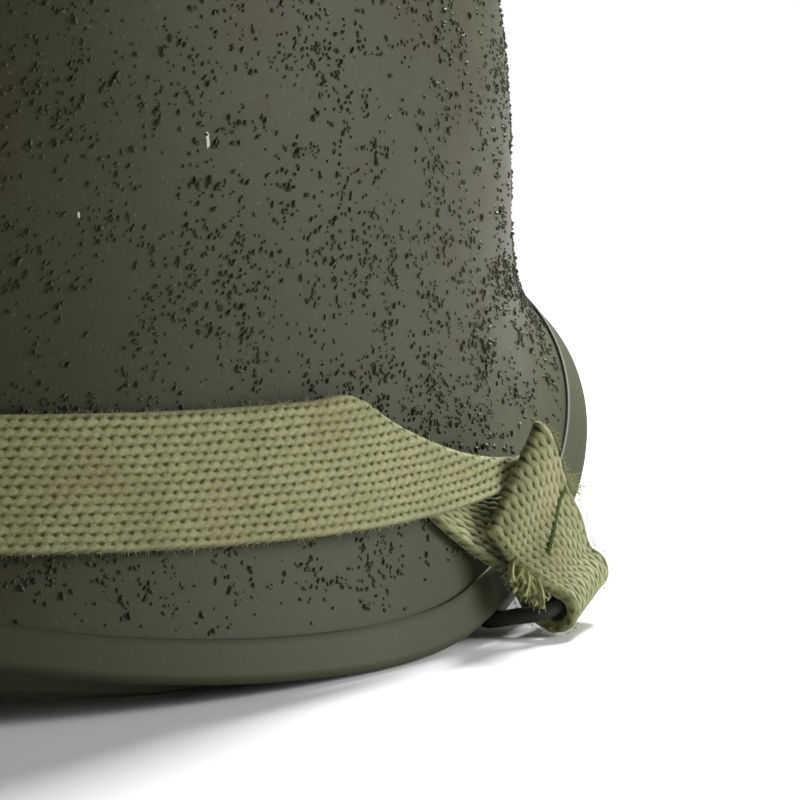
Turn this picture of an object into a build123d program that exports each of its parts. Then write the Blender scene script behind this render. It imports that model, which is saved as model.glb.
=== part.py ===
from build123d import *
from collections import namedtuple
from math import acos, atan2, ceil, cos, degrees, hypot, pi, radians, sin
import os

# A steel pot helmet: a pressed steel bowl with a rim strip, two wire loops that swing in plates
# welded inside the rim, a webbing chin strap hooked round the back, and the liner that sits in it.
# Millimetres. +Z is up, the visor looks along -Y and the wearer's right is -X.
# Angles run round the helmet from the nape (0) over the wearer's right (90) to the visor (180).

# Rim of the steel bowl, seen from above
RIM_HALF_WIDTH = 119.3
RIM_FRONT = 146.9
RIM_REAR = 131.0
RIM_MIDDLE = 8.0
RIM_FULLNESS = 2.1
# Height of the rim's edge: the visor's rise over the floor line, and its course round the side
RIM_FLOOR_GAP = 1.6
VISOR_RISE = 41.5
RIM_RISE_SHARES = (
    (0, 0.38), (18, 0.36), (36, 0.295), (50, 0.19), (59, 0.108), (69, 0.046), (79, 0.011),
    (87, 0.0), (94, 0.02), (100, 0.083), (107, 0.171), (119, 0.335), (133, 0.578),
    (147, 0.802), (160, 0.93), (180, 1.0),
)
# Foot of the dome, where the brim starts to flare
WALL_HALF_WIDTH = 111.5
WALL_FRONT = 123.5
WALL_REAR = 115.0
WALL_MIDDLE = 7.0
WALL_FULLNESS = 2.12
WALL_HEIGHT_REAR = 56.0
WALL_HEIGHT_SIDE = 46.0
WALL_HEIGHT_FRONT = 79.0
CROWN_HEIGHT = 179.0
DOME_FULLNESS = 2.4
# Slope of the brim's edge under the horizontal, in degrees
BRIM_SLOPE_REAR = 52
BRIM_SLOPE_SIDE = 70
BRIM_SLOPE_FRONT = 35
BRIM_TOP_SHARE = 0.45
BRIM_EDGE_SHARE = 0.3
STEEL = 1.1
# Rings of the skins
RING_POINTS = 32
BRIM_LEVELS = 4
BRIM_CROWDING = 1.3
DOME_LEVELS = 8
CROWN_CAP_SHARE = 0.045
PROBE_SHARE = 0.002

# Rim strip, a channel crimped over the edge with a butt joint at the nape
STRIP_LEG = 5.0
STRIP_SHEET = 0.5
STRIP_CRIMP = 0.12
STRIP_JOINT = 0.4

# Wire loops, hinged in plates welded inside the rim; the loop's own axes are out, run and up
WIRE = 2.4
LOOP_INSIDE = 19.6
LOOP_REACH = 11.2
LOOP_CORNER = 2.8
LOOP_BAR = (-123.6, -26.2, 6.1)
LOOP_RUN_SHARES = (0.21, -0.95, 0.2)
LOOP_OUT_SHARES = (-0.97, -0.24, 0.2)
PLATE_SHEET = 0.8
PLATE_WIDTH = 14.5
PLATE_HEIGHT = 17.0
PLATE_SEAT = 0.35
PLATE_LEAVE = 40
HINGE_PLAY = 0.1

# Webbing chin strap, hooked round the back of the bowl
WEB_WIDTH = 19.0
WEB = 1.7
WEB_GAP = 0.35
STRAP_HEIGHT_REAR = 27.0
STRAP_HEIGHT_SIDE = 19.6
STRAP_TURN_ANGLE = 82
STRAP_TIP_ANGLE = 105
STRAP_TIP_SHARE = 0.26
CREASE_HOLLOW_SHARE = 0.8
LIFT_RUN = 28.0
WRAP_STEPS = 6
FLAP_SHARES = (0.2, 0.4, 0.6, 0.8, 0.97)
TIP_LIFT = 1.9
TIP_RISE_SHARE = 0.1
FLAP_PLAY = 0.5
# Strap's under layer from its fold to the sewn end: lower and upper selvage in webbing widths,
# measured from the loop's bar along out, run and up
UNDER_SHARES = (
    ((-0.69, -1.17, 1.1), (-0.42, 0.2, 0.91)),
    ((-0.4, -0.6, 0.44), (-0.21, 0.23, 0.87)),
    ((-0.29, -0.46, 0.31), (-0.06, 0.42, 0.71)),
)
# Sewn end from the stitching round the bar to its turned tip: middle and width direction
END_SHARES = (
    ((-0.19, 0.01, 0.46), (0.2, 0.92, 0.34)),
    ((-0.22, 0.02, 0.24), (0.09, 0.98, 0.17)),
)
UNDER_STEPS = 4
UNDER_ROWS = 3
BAR_TURNS = (-150, -105, -60, -15, 30, 62)
BAR_SLACK = 0.7
BAR_SAG = 0.5
FACE_SHARES = (
    ((0.01, -0.1, 0.36), (0.12, 0.97, 0.22)),
    ((-0.06, -0.18, 0.58), (0.22, 0.9, 0.37)),
    ((-0.07, -0.34, 0.94), (0.4, 0.64, 0.65)),
)
HEM_TURN_SHARES = ((-0.1, -0.35, 1.02), (0.4, 0.64, 0.65))
HEM_SHARES = (
    ((-0.11, -0.22, 0.92), (0.4, 0.64, 0.65)),
    ((-0.09, -0.055, 0.55), (0.22, 0.9, 0.37)),
)

# Buckle, hook and end clip of the chin strap, placed along it from the nape
BUCKLE_X = -24.0
BUCKLE_LENGTH = 17.0
BUCKLE_BAR = 2.4
BUCKLE_SIDE = 1.2
BUCKLE_CORNER = 2.0
STRAP_RETURN = 46.0
CLIP_LENGTH = 9.0
CLIP_SHEET = 0.5
CLIP_PLAY = 0.45
HOOK_LENGTH = 20.0
HOOK_WIDTH = 11.0
HOOK_SHEET = 1.4
HOOK_SLOT = 4.6
HOOK_BAR = 3.0
HOOK_RETURN = 15.0
HOOK_CURL = (90, 60, 30, 0, -30, -60, -80)
BUCKLE_ROUND_SHARE = 0.3
FIT = 0.2
WRAP_PLAY = 0.7

# Liner, a moulded bowl inside the steel one
LINER_GAP = 1.5
LINER_WALL = 2.2
LINER_INSET_REAR = 5.0
LINER_INSET_SIDE = 9.4
LINER_INSET_FRONT = 10.4
LINER_EDGE_RISE = 0.73
LINER_VISOR_RISE = 49.0
LINER_RISE_SHARES = (
    (0, 0.23), (20, 0.21), (36, 0.147), (52, 0.064), (62, 0.018), (72, 0.0), (82, 0.065),
    (95, 0.2),
    (107, 0.35), (121, 0.59), (136, 0.8), (152, 0.94), (180, 1.0),
)

# Suspension in the liner
RIVET_HEIGHT_REAR = 80.0
RIVET_HEIGHT_SIDE = 76.0
RIVET_HEIGHT_FRONT = 92.0
RIVET_ANGLES = (30, 90, 150, 210, 270, 330)
RIVET_SHANK = 3.4
RIVET_HEAD = 8.0
RIVET_HEAD_DEPTH = 0.9
HEAD_SEAT = 0.3
LAP = 0.15
WALL_PLAY = 0.75
BAND_WIDTH = 22.0
BAND_WEB = 1.2
BAND_PULL = 14.0
CROWN_STRAP_WIDTH = 19.0
CROWN_RING_RADIUS = 27.0
CROWN_RING_DROP = 30.0
LACE = 3.0
HEM_LENGTH = 13.0
WASHER_WIDTH = 24.0
WASHER_HEIGHT = 21.0
WASHER_SHEET = 0.8
HEADBAND_INSET = 18.8
HEADBAND_WIDTH = 34.0
HEADBAND_LEATHER = 1.4
LEATHER_TURN = 9.0
CLIP_WIDTH = 6.0
CROWN_STEPS = 12
NAPE_LAP = 3
NAPE_ANGLE = 44
NAPE_STRAP_WIDTH = 20.0
NAPE_HEIGHT = 38.0
NAPE_PULL = 15.0
STUD_ANGLE = 97
STUD_HEIGHT = 34.0
EYELET_HEIGHT = 118.0
EYELET_BORE = 5.0
EYELET_FLANGE = 9.5
EYELET_SHEET = 0.5
HEADBAND_POINTS = 48
BAND_POINTS = 72
NAPE_STEPS = 24

Outline = namedtuple("Outline", "half_width front rear middle fullness")
Bowl = namedtuple("Bowl", "rim wall rim_height wall_heights crown")


def swing(angle, rear, side, front):
    """A value that passes from the rear over the side to the front."""
    turn = cos(radians(angle))
    end = rear if turn > 0 else front
    return side + (end - side) * turn ** 2


def through(stations, angle):
    """A smooth curve through stations of angle and value, the same on both sides."""
    angle = abs((angle + 180) % 360 - 180)
    last = len(stations) - 2
    place = next((i for i in range(last) if angle <= stations[i + 1][0]), last)

    def slope(i):
        if i in (0, last + 1):
            return 0
        before, after = stations[i - 1], stations[i + 1]
        return (after[1] - before[1]) / (after[0] - before[0])

    (start, low), (stop, high) = stations[place], stations[place + 1]
    span = stop - start
    t = (angle - start) / span
    rise = t * t * (3 - 2 * t)
    leave = slope(place) * span * t * (1 - t) ** 2
    arrive = slope(place + 1) * span * t * t * (1 - t)
    return low + (high - low) * rise + leave - arrive


def on_outline(outline, angle):
    """Point of a full oval at an angle, as x and y."""
    s, c = sin(radians(angle)), cos(radians(angle))
    reach = outline.rear if c > 0 else outline.front
    power = outline.fullness
    radius = (abs(s / outline.half_width) ** power + abs(c / reach) ** power) ** (-1 / power)
    return -radius * s, outline.middle + radius * c


def on_bowl(bowl, angle, level):
    """Point of a bowl's skin: level 0 is the rim, 1 the foot of the dome and 2 the crown."""
    wall_x, wall_y = on_outline(bowl.wall, angle)
    wall_z = swing(angle, *bowl.wall_heights)
    if level >= 1:
        s, c = sin((level - 1) * pi / 2), max(cos((level - 1) * pi / 2), 0)
        radius = (s ** DOME_FULLNESS + c ** DOME_FULLNESS) ** (-1 / DOME_FULLNESS)
        share, lift = radius * c, radius * s
        middle = bowl.wall.middle
        return Vector(wall_x * share, middle + (wall_y - middle) * share,
                      wall_z + (bowl.crown - wall_z) * lift)
    rim_x, rim_y = on_outline(bowl.rim, angle)
    rim_z = bowl.rim_height(angle)
    wall, rim = Vector(wall_x, wall_y, wall_z), Vector(rim_x, rim_y, rim_z)
    drop = wall_z - rim_z
    out = Vector(rim_x - wall_x, rim_y - wall_y, 0).normalized()
    slope = radians(swing(angle, BRIM_SLOPE_REAR, BRIM_SLOPE_SIDE, BRIM_SLOPE_FRONT))
    upper = wall - Vector(0, 0, 1) * drop * BRIM_TOP_SHARE
    lower = rim - (out * cos(slope) - Vector(0, 0, 1) * sin(slope)) * drop * BRIM_EDGE_SHARE
    s, t = level, 1 - level
    return wall * s ** 3 + upper * 3 * s * s * t + lower * 3 * s * t * t + rim * t ** 3


def outward(bowl, angle, level):
    """Unit normal of a bowl's skin, away from the head."""
    low, high = max(level - PROBE_SHARE, 0), min(level + PROBE_SHARE, 2)
    up = on_bowl(bowl, angle, high) - on_bowl(bowl, angle, low)
    step = degrees(PROBE_SHARE)
    along = on_bowl(bowl, angle + step, level) - on_bowl(bowl, angle - step, level)
    return along.cross(up).normalized()


def inset(bowl, angle, level, depth):
    """Point at a depth under a bowl's skin."""
    return on_bowl(bowl, angle, level) - outward(bowl, angle, level) * depth


def ring_angles(count=RING_POINTS):
    return [360 * i / count for i in range(count)]


def closed_ring(points):
    return Wire([Edge.make_spline(points, periodic=True)])


def skin_levels():
    """Levels of the rings, from the rim to the crown's flat cap."""
    brim = [(i / BRIM_LEVELS) ** BRIM_CROWDING for i in range(BRIM_LEVELS)]
    top = 2 * acos(CROWN_CAP_SHARE) / pi
    return brim + [1 + top * i / DOME_LEVELS for i in range(DOME_LEVELS + 1)]


def skin_rings(bowl, depth):
    rings = []
    levels = skin_levels()
    for level in levels:
        points = [inset(bowl, angle, level, depth) for angle in ring_angles()]
        if level == levels[-1]:
            height = sum(p.Z for p in points) / len(points)
            points = [Vector(p.X, p.Y, height) for p in points]
        rings.append(closed_ring(points))
    return rings


def bowl_solid(bowl, depth, thickness):
    """Wall between two skins of a bowl, closed at the rim and with a flat cap on the crown."""
    outer, inner = skin_rings(bowl, depth), skin_rings(bowl, depth + thickness)
    faces = Shell.make_loft(outer).faces() + Shell.make_loft(inner).faces()
    faces += Shell.make_loft([outer[0], inner[0]], ruled=True).faces()
    faces += [Face(outer[-1]), Face(inner[-1])]
    return solid_of(faces)


def save(name, *pieces):
    solids = [solid for piece in pieces for solid in piece.solids()]
    shape = solids[0] if len(solids) == 1 else Compound(children=solids)
    shape.label = name
    export_step(shape, f"parts/{name}.step")


def steel_rim_height(angle):
    return RIM_FLOOR_GAP + VISOR_RISE * through(RIM_RISE_SHARES, angle)


STEEL_BOWL = Bowl(
    Outline(RIM_HALF_WIDTH, RIM_FRONT, RIM_REAR, RIM_MIDDLE, RIM_FULLNESS),
    Outline(WALL_HALF_WIDTH, WALL_FRONT, WALL_REAR, WALL_MIDDLE, WALL_FULLNESS),
    steel_rim_height,
    (WALL_HEIGHT_REAR, WALL_HEIGHT_SIDE, WALL_HEIGHT_FRONT),
    CROWN_HEIGHT,
)


LINER_DEPTH = STEEL + LINER_GAP


def liner_rim_height(angle):
    return LINER_EDGE_RISE + LINER_VISOR_RISE * through(LINER_RISE_SHARES, angle)


LINER_BOWL = Bowl(
    Outline(RIM_HALF_WIDTH - LINER_INSET_SIDE, RIM_FRONT - LINER_INSET_FRONT,
            RIM_REAR - LINER_INSET_REAR, RIM_MIDDLE, RIM_FULLNESS),
    Outline(WALL_HALF_WIDTH - LINER_DEPTH, WALL_FRONT - LINER_DEPTH,
            WALL_REAR - LINER_DEPTH, WALL_MIDDLE, WALL_FULLNESS),
    liner_rim_height,
    (WALL_HEIGHT_REAR, WALL_HEIGHT_SIDE, WALL_HEIGHT_FRONT),
    CROWN_HEIGHT - LINER_DEPTH,
)


def solid_of(faces):
    solid = Solid(Shell(faces))
    return solid if solid.volume > 0 else Solid(Shell([-face for face in faces]))


def hoop(section_at, angles, closed=True):
    """Solid round the helmet with one section at each angle, whole or between two ends."""
    sections = [section_at(angle) for angle in angles]
    lines = []
    for points in zip(*sections):
        lines.append(Wire([Edge.make_spline(list(points), periodic=closed)]))
    faces = []
    for near, far in zip(lines, lines[1:] + lines[:1]):
        faces += Shell.make_loft([near, far], ruled=True).faces()
    if not closed:
        for section in (sections[0], sections[-1]):
            faces.append(Face(Wire.make_polygon(section, close=True)))
    return solid_of(faces)


def level_at(bowl, angle, height):
    """Level at which a bowl's skin reaches a height."""
    low, high = 0.0, 1.95
    for _ in range(30):
        middle = (low + high) / 2
        if on_bowl(bowl, angle, middle).Z < height:
            low = middle
        else:
            high = middle
    return low


def level_beyond(bowl, angle, level, distance):
    """Level at which a bowl's skin is a straight distance up from another level."""
    foot = on_bowl(bowl, angle, level)
    low, high = level, 1.95
    for _ in range(30):
        middle = (low + high) / 2
        if (on_bowl(bowl, angle, middle) - foot).length < distance:
            low = middle
        else:
            high = middle
    return low


def rim_strip():
    """Channel over the rim: its section is set out along and across the brim at each angle."""
    gap, sheet = STRIP_CRIMP, STRIP_SHEET
    nose, bore = STEEL / 2 + gap + sheet, STEEL / 2 + gap
    turns = (-45, 0, 45)
    section = [(STRIP_LEG, gap), (STRIP_LEG, gap + sheet), (0, gap + sheet)]
    section += [(-nose * cos(radians(t)), -STEEL / 2 - nose * sin(radians(t))) for t in turns]
    section += [(0, -STEEL - gap - sheet), (STRIP_LEG, -STEEL - gap - sheet)]
    section += [(STRIP_LEG, -STEEL - gap), (0, -STEEL - gap)]
    section += [(-bore * cos(radians(t)), -STEEL / 2 + bore * sin(radians(t))) for t in turns]
    section += [(0, gap)]

    def section_at(angle):
        foot = on_bowl(STEEL_BOWL, angle, 0)
        normal = outward(STEEL_BOWL, angle, 0)
        up = (on_bowl(STEEL_BOWL, angle, PROBE_SHARE) - foot).normalized()
        level = level_beyond(STEEL_BOWL, angle, 0, STRIP_LEG)
        shift = STRIP_JOINT / 2 * ((angle > 180) - (angle < 180))
        at_joint = angle in (0, 360)
        points = []
        for along, across in section:
            if along > 0:
                point = inset(STEEL_BOWL, angle, level, -across)
            else:
                point = foot + up * along + normal * across
            points.append(Vector(shift, point.Y, point.Z) if at_joint else point)
        return points

    return hoop(section_at, ring_angles() + [360], closed=False)


RUN = Vector(*LOOP_RUN_SHARES).normalized()
OUT = Vector(*LOOP_OUT_SHARES) - RUN * Vector(*LOOP_OUT_SHARES).dot(RUN)
OUT = OUT.normalized()
UP = OUT.cross(RUN)
BAR = Vector(*LOOP_BAR)
HINGE = BAR - OUT * LOOP_REACH


def other_side(shape):
    return shape.mirror(Plane.YZ)


def wire_loop():
    """Rounded rectangle of wire: the hinge bar lies in the plate, the outer bar in the strap."""
    plane = Plane(origin=BAR - OUT * LOOP_REACH / 2, x_dir=OUT, z_dir=UP)
    path = (plane * RectangleRounded(LOOP_REACH, LOOP_INSIDE + WIRE, LOOP_CORNER)).wire()
    start = Plane(origin=path.position_at(0), z_dir=path.tangent_at(0))
    return sweep(start * Circle(WIRE / 2), path=path)


def wall_from_hinge(run, up):
    """How far out from the hinge's axis the bowl's inner face is, at a place along and up."""
    out = 0
    for _ in range(4):
        height = (HINGE + RUN * run + UP * up + OUT * out).Z
        low, high = 90.0, 120.0
        for _ in range(20):
            middle = (low + high) / 2
            point = inset(STEEL_BOWL, middle, level_at(STEEL_BOWL, middle, height), STEEL)
            if (point - HINGE).dot(RUN) < run:
                low = middle
            else:
                high = middle
        out = (point - HINGE).dot(OUT)
    return out


def loop_plate():
    """Sheet rolled round the hinge bar and run up the inside of the bowl, where it is welded."""
    bore = WIRE / 2 + HINGE_PLAY
    radius = bore + PLATE_SHEET
    ends = (-PLATE_WIDTH / 2, PLATE_WIDTH / 2)
    low_up, top_up = PLATE_HEIGHT / 2, PLATE_HEIGHT
    heights = (low_up, (low_up + top_up) / 2, top_up)
    walls = [min(wall_from_hinge(run, up) for run in ends) - PLATE_SEAT for up in heights]
    swell = max((walls[0] + walls[2]) / 2 - walls[1], 0)
    low_out, top_out = walls[0] - swell, walls[2] - swell
    side = cos(radians(PLATE_LEAVE)), sin(radians(PLATE_LEAVE))
    outline = [
        (radius * side[0], radius * side[1]), (low_out, low_up), (top_out, top_up),
        (top_out - PLATE_SHEET, top_up), (low_out - PLATE_SHEET, low_up),
        (bore * side[0], bore * side[1]),
    ]
    section = make_face(Polyline(*outline, close=True)) + Circle(radius) - Circle(bore)
    plane = Plane(origin=HINGE + RUN * PLATE_WIDTH / 2, x_dir=OUT, z_dir=-RUN)
    return extrude(plane * section, amount=PLATE_WIDTH)


def strap_height(angle):
    return swing(angle, STRAP_HEIGHT_REAR, STRAP_HEIGHT_SIDE, STRAP_HEIGHT_SIDE)


def strap_base(angle):
    """Lower line of the strap on the bowl, with its directions across and outward."""
    level = level_at(STEEL_BOWL, angle, strap_height(angle))
    foot = on_bowl(STEEL_BOWL, angle, level)
    top = on_bowl(STEEL_BOWL, angle, level_beyond(STEEL_BOWL, angle, level, WEB_WIDTH))
    step = degrees(PROBE_SHARE)
    along = on_bowl(STEEL_BOWL, angle + step, level) - on_bowl(STEEL_BOWL, angle - step, level)
    across = (top - foot).normalized()
    return foot, across, along.cross(across).normalized()


DEGREE = (strap_base(1)[0] - strap_base(-1)[0]).length / 2


def on_strap(x, height, share):
    """Point over the strap's run: along it from the nape, above the steel and across."""
    foot, across, out = strap_base(x / DEGREE)
    return foot + out * height + across * WEB_WIDTH * share


def band_sections(places, width, thickness):
    """Sections of webbing along places, each with the direction of its width."""
    sections = []
    for i, (middle, across) in enumerate(places):
        before, after = places[max(i - 1, 0)][0], places[min(i + 1, len(places) - 1)][0]
        out = (after - before).cross(across).normalized() * thickness / 2
        half = across * width / 2
        sections.append([middle - half - out, middle + half - out,
                         middle + half + out, middle - half + out])
    return sections


def ribbon(sections):
    wires = [Wire.make_polygon(corners, close=True) for corners in sections]
    return Solid.make_loft(wires, ruled=True)


def quilt(sections):
    """Curved cloth through sections whose first half is one face and second half the other."""
    lines = [Wire([Edge.make_spline(list(points))]) for points in zip(*sections)]
    faces = []
    for near, far in zip(lines, lines[1:] + lines[:1]):
        faces += Shell.make_loft([near, far], ruled=True).faces()
    half = len(lines) // 2
    for section in (sections[0], sections[-1]):
        near = Wire.make_polygon(section[:half], close=False)
        far = Wire.make_polygon(section[half:][::-1], close=False)
        faces += Shell.make_loft([near, far], ruled=True).faces()
    return solid_of(faces)


def flat_sections(path, thickness):
    """Sections of webbing that follows a path of places along the strap and above the steel."""
    sections = []
    for i, (x, height) in enumerate(path):
        before, after = path[max(i - 1, 0)], path[min(i + 1, len(path) - 1)]
        run, rise = after[0] - before[0], after[1] - before[1]
        length = hypot(run, rise)
        side_x, side_h = -rise / length * thickness / 2, run / length * thickness / 2
        low, high = (x - side_x, height - side_h), (x + side_x, height + side_h)
        sections.append([on_strap(*low, 0), on_strap(*low, 1),
                         on_strap(*high, 1), on_strap(*high, 0)])
    return sections


def from_bar(shares):
    """Place near the loop's bar, given in webbing widths along out, run and up."""
    return BAR + (OUT * shares[0] + RUN * shares[1] + UP * shares[2]) * WEB_WIDTH


def along_bar(shares):
    return (OUT * shares[0] + RUN * shares[1] + UP * shares[2]).normalized()


UNDER_HEIGHT = WEB_GAP + WEB / 2
TURN_X = STRAP_TURN_ANGLE * DEGREE
TIP_X = STRAP_TIP_ANGLE * DEGREE


def crease(share):
    """Height of the strap's fold in webbing widths, at a share of its way to the tip."""
    return 1 - (1 - STRAP_TIP_SHARE) * share * (1 + CREASE_HOLLOW_SHARE * (1 - share))


def chinstrap(bar_x, bar_radius, return_length, return_gap):
    """Strap from a bar behind the nape round to its narrowing fold above the loop."""
    turn = bar_radius + WRAP_PLAY + WEB / 2
    bar_height = UNDER_HEIGHT + turn
    over = UNDER_HEIGHT + WEB + return_gap
    landing = bar_x + turn * 3
    steps = ceil((return_length - turn * 3) / WEB_WIDTH * 4)
    path = []
    for i in range(steps + 1):
        path.append((landing + (bar_x + return_length - landing) * (1 - i / steps), over))
    for i in range(WRAP_STEPS + 1):
        place = radians(90 + 180 * i / WRAP_STEPS)
        path.append((bar_x + turn * cos(place), bar_height + turn * sin(place)))
    steps = ceil((TURN_X - bar_x) / WEB_WIDTH * 2)
    for i in range(1, steps + 1):
        x = bar_x + (TURN_X - bar_x) * i / steps
        climb = max(1 - (TURN_X - x) / LIFT_RUN, 0)
        path.append((x, UNDER_HEIGHT + (WEB + FLAP_PLAY) * climb))
    sections = flat_sections(path, WEB)
    low = WEB_GAP + WEB + FLAP_PLAY
    for share in FLAP_SHARES:
        x = TURN_X + (TIP_X - TURN_X) * share
        top = crease(share)
        lift = low + TIP_LIFT * share
        foot = TIP_RISE_SHARE * share ** 4
        sections.append([on_strap(x, lift, foot), on_strap(x, lift, top),
                         on_strap(x, lift + WEB, top), on_strap(x, lift + WEB, foot)])
    return ribbon(sections)


def off_steel(point):
    """A place, moved outward where webbing there would touch the steel or its rim strip."""
    angle = degrees(atan2(-point.X, point.Y - WALL_MIDDLE))
    level = level_at(STEEL_BOWL, angle, point.Z)
    out = outward(STEEL_BOWL, angle, level)
    gap = (point - on_bowl(STEEL_BOWL, angle, level)).dot(out)
    over_rim = point.Z - steel_rim_height(angle)
    near_rim = min(max(1 - over_rim / STRIP_LEG / 3, 0), 1)
    return point + out * max(WEB_GAP + (STRIP_CRIMP + STRIP_SHEET) * near_rim - gap, 0)


def under_layer():
    """Layer that the strap's fold turns down, from the fold's line to the sewn end."""
    shares = [i / UNDER_STEPS for i in range(UNDER_STEPS + 1)]
    fold = []
    for share in shares:
        x = TURN_X + (TIP_X - TURN_X) * share
        fold.append(on_strap(x, WEB_GAP, crease(share)))
    ends = [(from_bar(low), from_bar(high)) for low, high in UNDER_SHARES]
    rows = [[start + (end - start) * share for share in shares] for start, end in ends]
    laid = [fold]
    for i in range(1, UNDER_ROWS):
        share = i / UNDER_ROWS
        laid.append([a + (b - a) * share for a, b in zip(fold, rows[0])])
    rows = laid[:1] + [[off_steel(point) for point in row] for row in laid[1:] + rows]
    sections = []
    for i, row in enumerate(rows):
        before, after = rows[max(i - 1, 0)], rows[min(i + 1, len(rows) - 1)]
        outer = []
        for j, point in enumerate(row):
            width = row[min(j + 1, UNDER_STEPS)] - row[max(j - 1, 0)]
            out = width.cross(after[j] - before[j]).normalized() * WEB
            outer.append(point + out * (1 if out.dot(OUT) > 0 else -1))
        sections.append(row + outer[::-1])
    return quilt(sections)


def strap_end():
    """Sewn end: from the stitching round the loop's bar, up the face and turned under."""
    centre = BAR - Vector(0, 0, BAR_SAG)
    turn = WIRE / 2 + BAR_SLACK + WEB / 2
    places = [(from_bar(place), along_bar(width)) for place, width in END_SHARES]
    for angle in BAR_TURNS:
        out, up = cos(radians(angle)) * turn, sin(radians(angle)) * turn
        places.append((centre + OUT * out + UP * up, RUN))
    for place, width in FACE_SHARES + (HEM_TURN_SHARES,) + HEM_SHARES:
        places.append((from_bar(place), along_bar(width)))
    return ribbon(band_sections(places, WEB_WIDTH, WEB))


RETURN_GAP = CLIP_SHEET + CLIP_PLAY * 2
BAR_HEIGHT = WEB_GAP + WEB + WRAP_PLAY + BUCKLE_BAR / 2
HOOK_BAR_X = BUCKLE_X - BUCKLE_LENGTH - HOOK_LENGTH
HOOK_BAR_HEIGHT = WEB_GAP + WEB + WRAP_PLAY + HOOK_BAR / 2


def strap_plane(x, height):
    """Plane on the strap's middle line: X runs along it and Z out of it."""
    ahead, behind = on_strap(x + WEB, height, 0.5), on_strap(x - WEB, height, 0.5)
    out = strap_base(x / DEGREE)[2]
    return Plane(origin=on_strap(x, height, 0.5), x_dir=ahead - behind, z_dir=out)


def strap_buckle():
    """Open frame: the long strap goes round its near bar and the hook over its far bar."""
    width = WEB_WIDTH + (BUCKLE_SIDE + BUCKLE_BAR) * 2
    outer = RectangleRounded(BUCKLE_LENGTH + BUCKLE_BAR, width, BUCKLE_CORNER)
    inner = Rectangle(BUCKLE_LENGTH - BUCKLE_BAR, width - BUCKLE_BAR * 2)
    frame = extrude(outer - inner, amount=BUCKLE_BAR / 2, both=True)
    edges = [e for e in frame.edges() if e.length > BUCKLE_BAR * 2]
    frame = fillet(edges, BUCKLE_BAR * BUCKLE_ROUND_SHARE)
    plane = strap_plane(BUCKLE_X, BAR_HEIGHT)
    return plane * Pos(-BUCKLE_LENGTH / 2, 0, 0) * frame


def strap_hook():
    """Sheet hook over the buckle's far bar, with a slot behind which the short strap is sewn."""
    far_bar = strap_plane(BUCKLE_X, BAR_HEIGHT).from_local_coords(Vector(-BUCKLE_LENGTH, 0, 0))
    slot_bar = on_strap(HOOK_BAR_X, HOOK_BAR_HEIGHT, 0.5)
    out = strap_base(HOOK_BAR_X / DEGREE)[2]
    plane = Plane(origin=slot_bar, x_dir=far_bar - slot_bar, z_dir=out)
    catch = plane.to_local_coords(far_bar)
    curl = BUCKLE_BAR / 2 + WRAP_PLAY + HOOK_SHEET / 2
    shoulder = HOOK_SLOT + HOOK_BAR
    line = [(-HOOK_BAR / 2, 0), (shoulder, 0), (catch.X - curl, catch.Z + curl)]
    for angle in HOOK_CURL:
        place = radians(angle)
        line.append((catch.X + curl * cos(place), catch.Z + curl * sin(place)))
    upper, lower = [], []
    for i, (x, z) in enumerate(line):
        before, after = line[max(i - 1, 0)], line[min(i + 1, len(line) - 1)]
        length = hypot(after[0] - before[0], after[1] - before[1])
        side_x = (before[1] - after[1]) / length * HOOK_SHEET / 2
        side_z = (after[0] - before[0]) / length * HOOK_SHEET / 2
        upper.append((x + side_x, z + side_z))
        lower.append((x - side_x, z - side_z))
    profile = Plane.XZ * make_face(Polyline(*upper, *lower[::-1], close=True))
    wide, reach = WEB_WIDTH + BUCKLE_SIDE * 2, BUCKLE_LENGTH * 2
    blade = extrude(profile, amount=wide / 2, both=True)
    for side in (-1, 1):
        place = Pos(shoulder + HOOK_BAR + reach / 2, side * (HOOK_WIDTH + wide) / 2, 0)
        blade -= place * Box(reach, wide, reach)
    opening = Box(HOOK_SLOT, WEB_WIDTH + FIT * 2, reach)
    return plane * (blade - Pos((HOOK_BAR + HOOK_SLOT) / 2, 0, 0) * opening)


def strap_end_clip():
    """Folded cap on the free end of the long strap."""
    height = WEB_GAP + WEB * 1.5 + RETURN_GAP
    plane = strap_plane(BUCKLE_X + STRAP_RETURN - CLIP_LENGTH / 2, height)
    sheet = CLIP_SHEET + CLIP_PLAY
    cap = Box(CLIP_LENGTH, WEB_WIDTH + sheet * 2, WEB + sheet * 2)
    pocket = Box(CLIP_LENGTH, WEB_WIDTH + CLIP_PLAY * 2, WEB + CLIP_PLAY * 2)
    cap -= Pos(-CLIP_SHEET, 0, 0) * pocket
    return plane * Pos(sheet, 0, 0) * cap


def liner_frame(angle, height, depth=0):
    """Plane on the liner's outer face: X runs round it, Y up and Z out, at a depth under it."""
    level = level_at(LINER_BOWL, angle, height)
    out = outward(LINER_BOWL, angle, level)
    up = Vector(0, 0, 1) - out * out.Z
    return Plane(origin=inset(LINER_BOWL, angle, level, depth), x_dir=up.cross(out), z_dir=out)


def rivet_height(angle):
    return swing(angle, RIVET_HEIGHT_REAR, RIVET_HEIGHT_SIDE, RIVET_HEIGHT_FRONT)


BAND_DEPTH = LINER_WALL + WALL_PLAY
STRAP_DEPTH = BAND_DEPTH + BAND_WEB + WALL_PLAY
WASHER_DEPTH = STRAP_DEPTH + BAND_WEB + LAP
RIVET_DEPTH = WASHER_DEPTH + WASHER_SHEET


def bored(shape, places, radius):
    """A shape with a clear hole through it at each of the liner's rivets."""
    for plane in places:
        shape -= plane * Cylinder(radius, RIVET_DEPTH * 4)
    return shape


def at_rivets():
    return [liner_frame(angle, rivet_height(angle)) for angle in RIVET_ANGLES]


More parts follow.
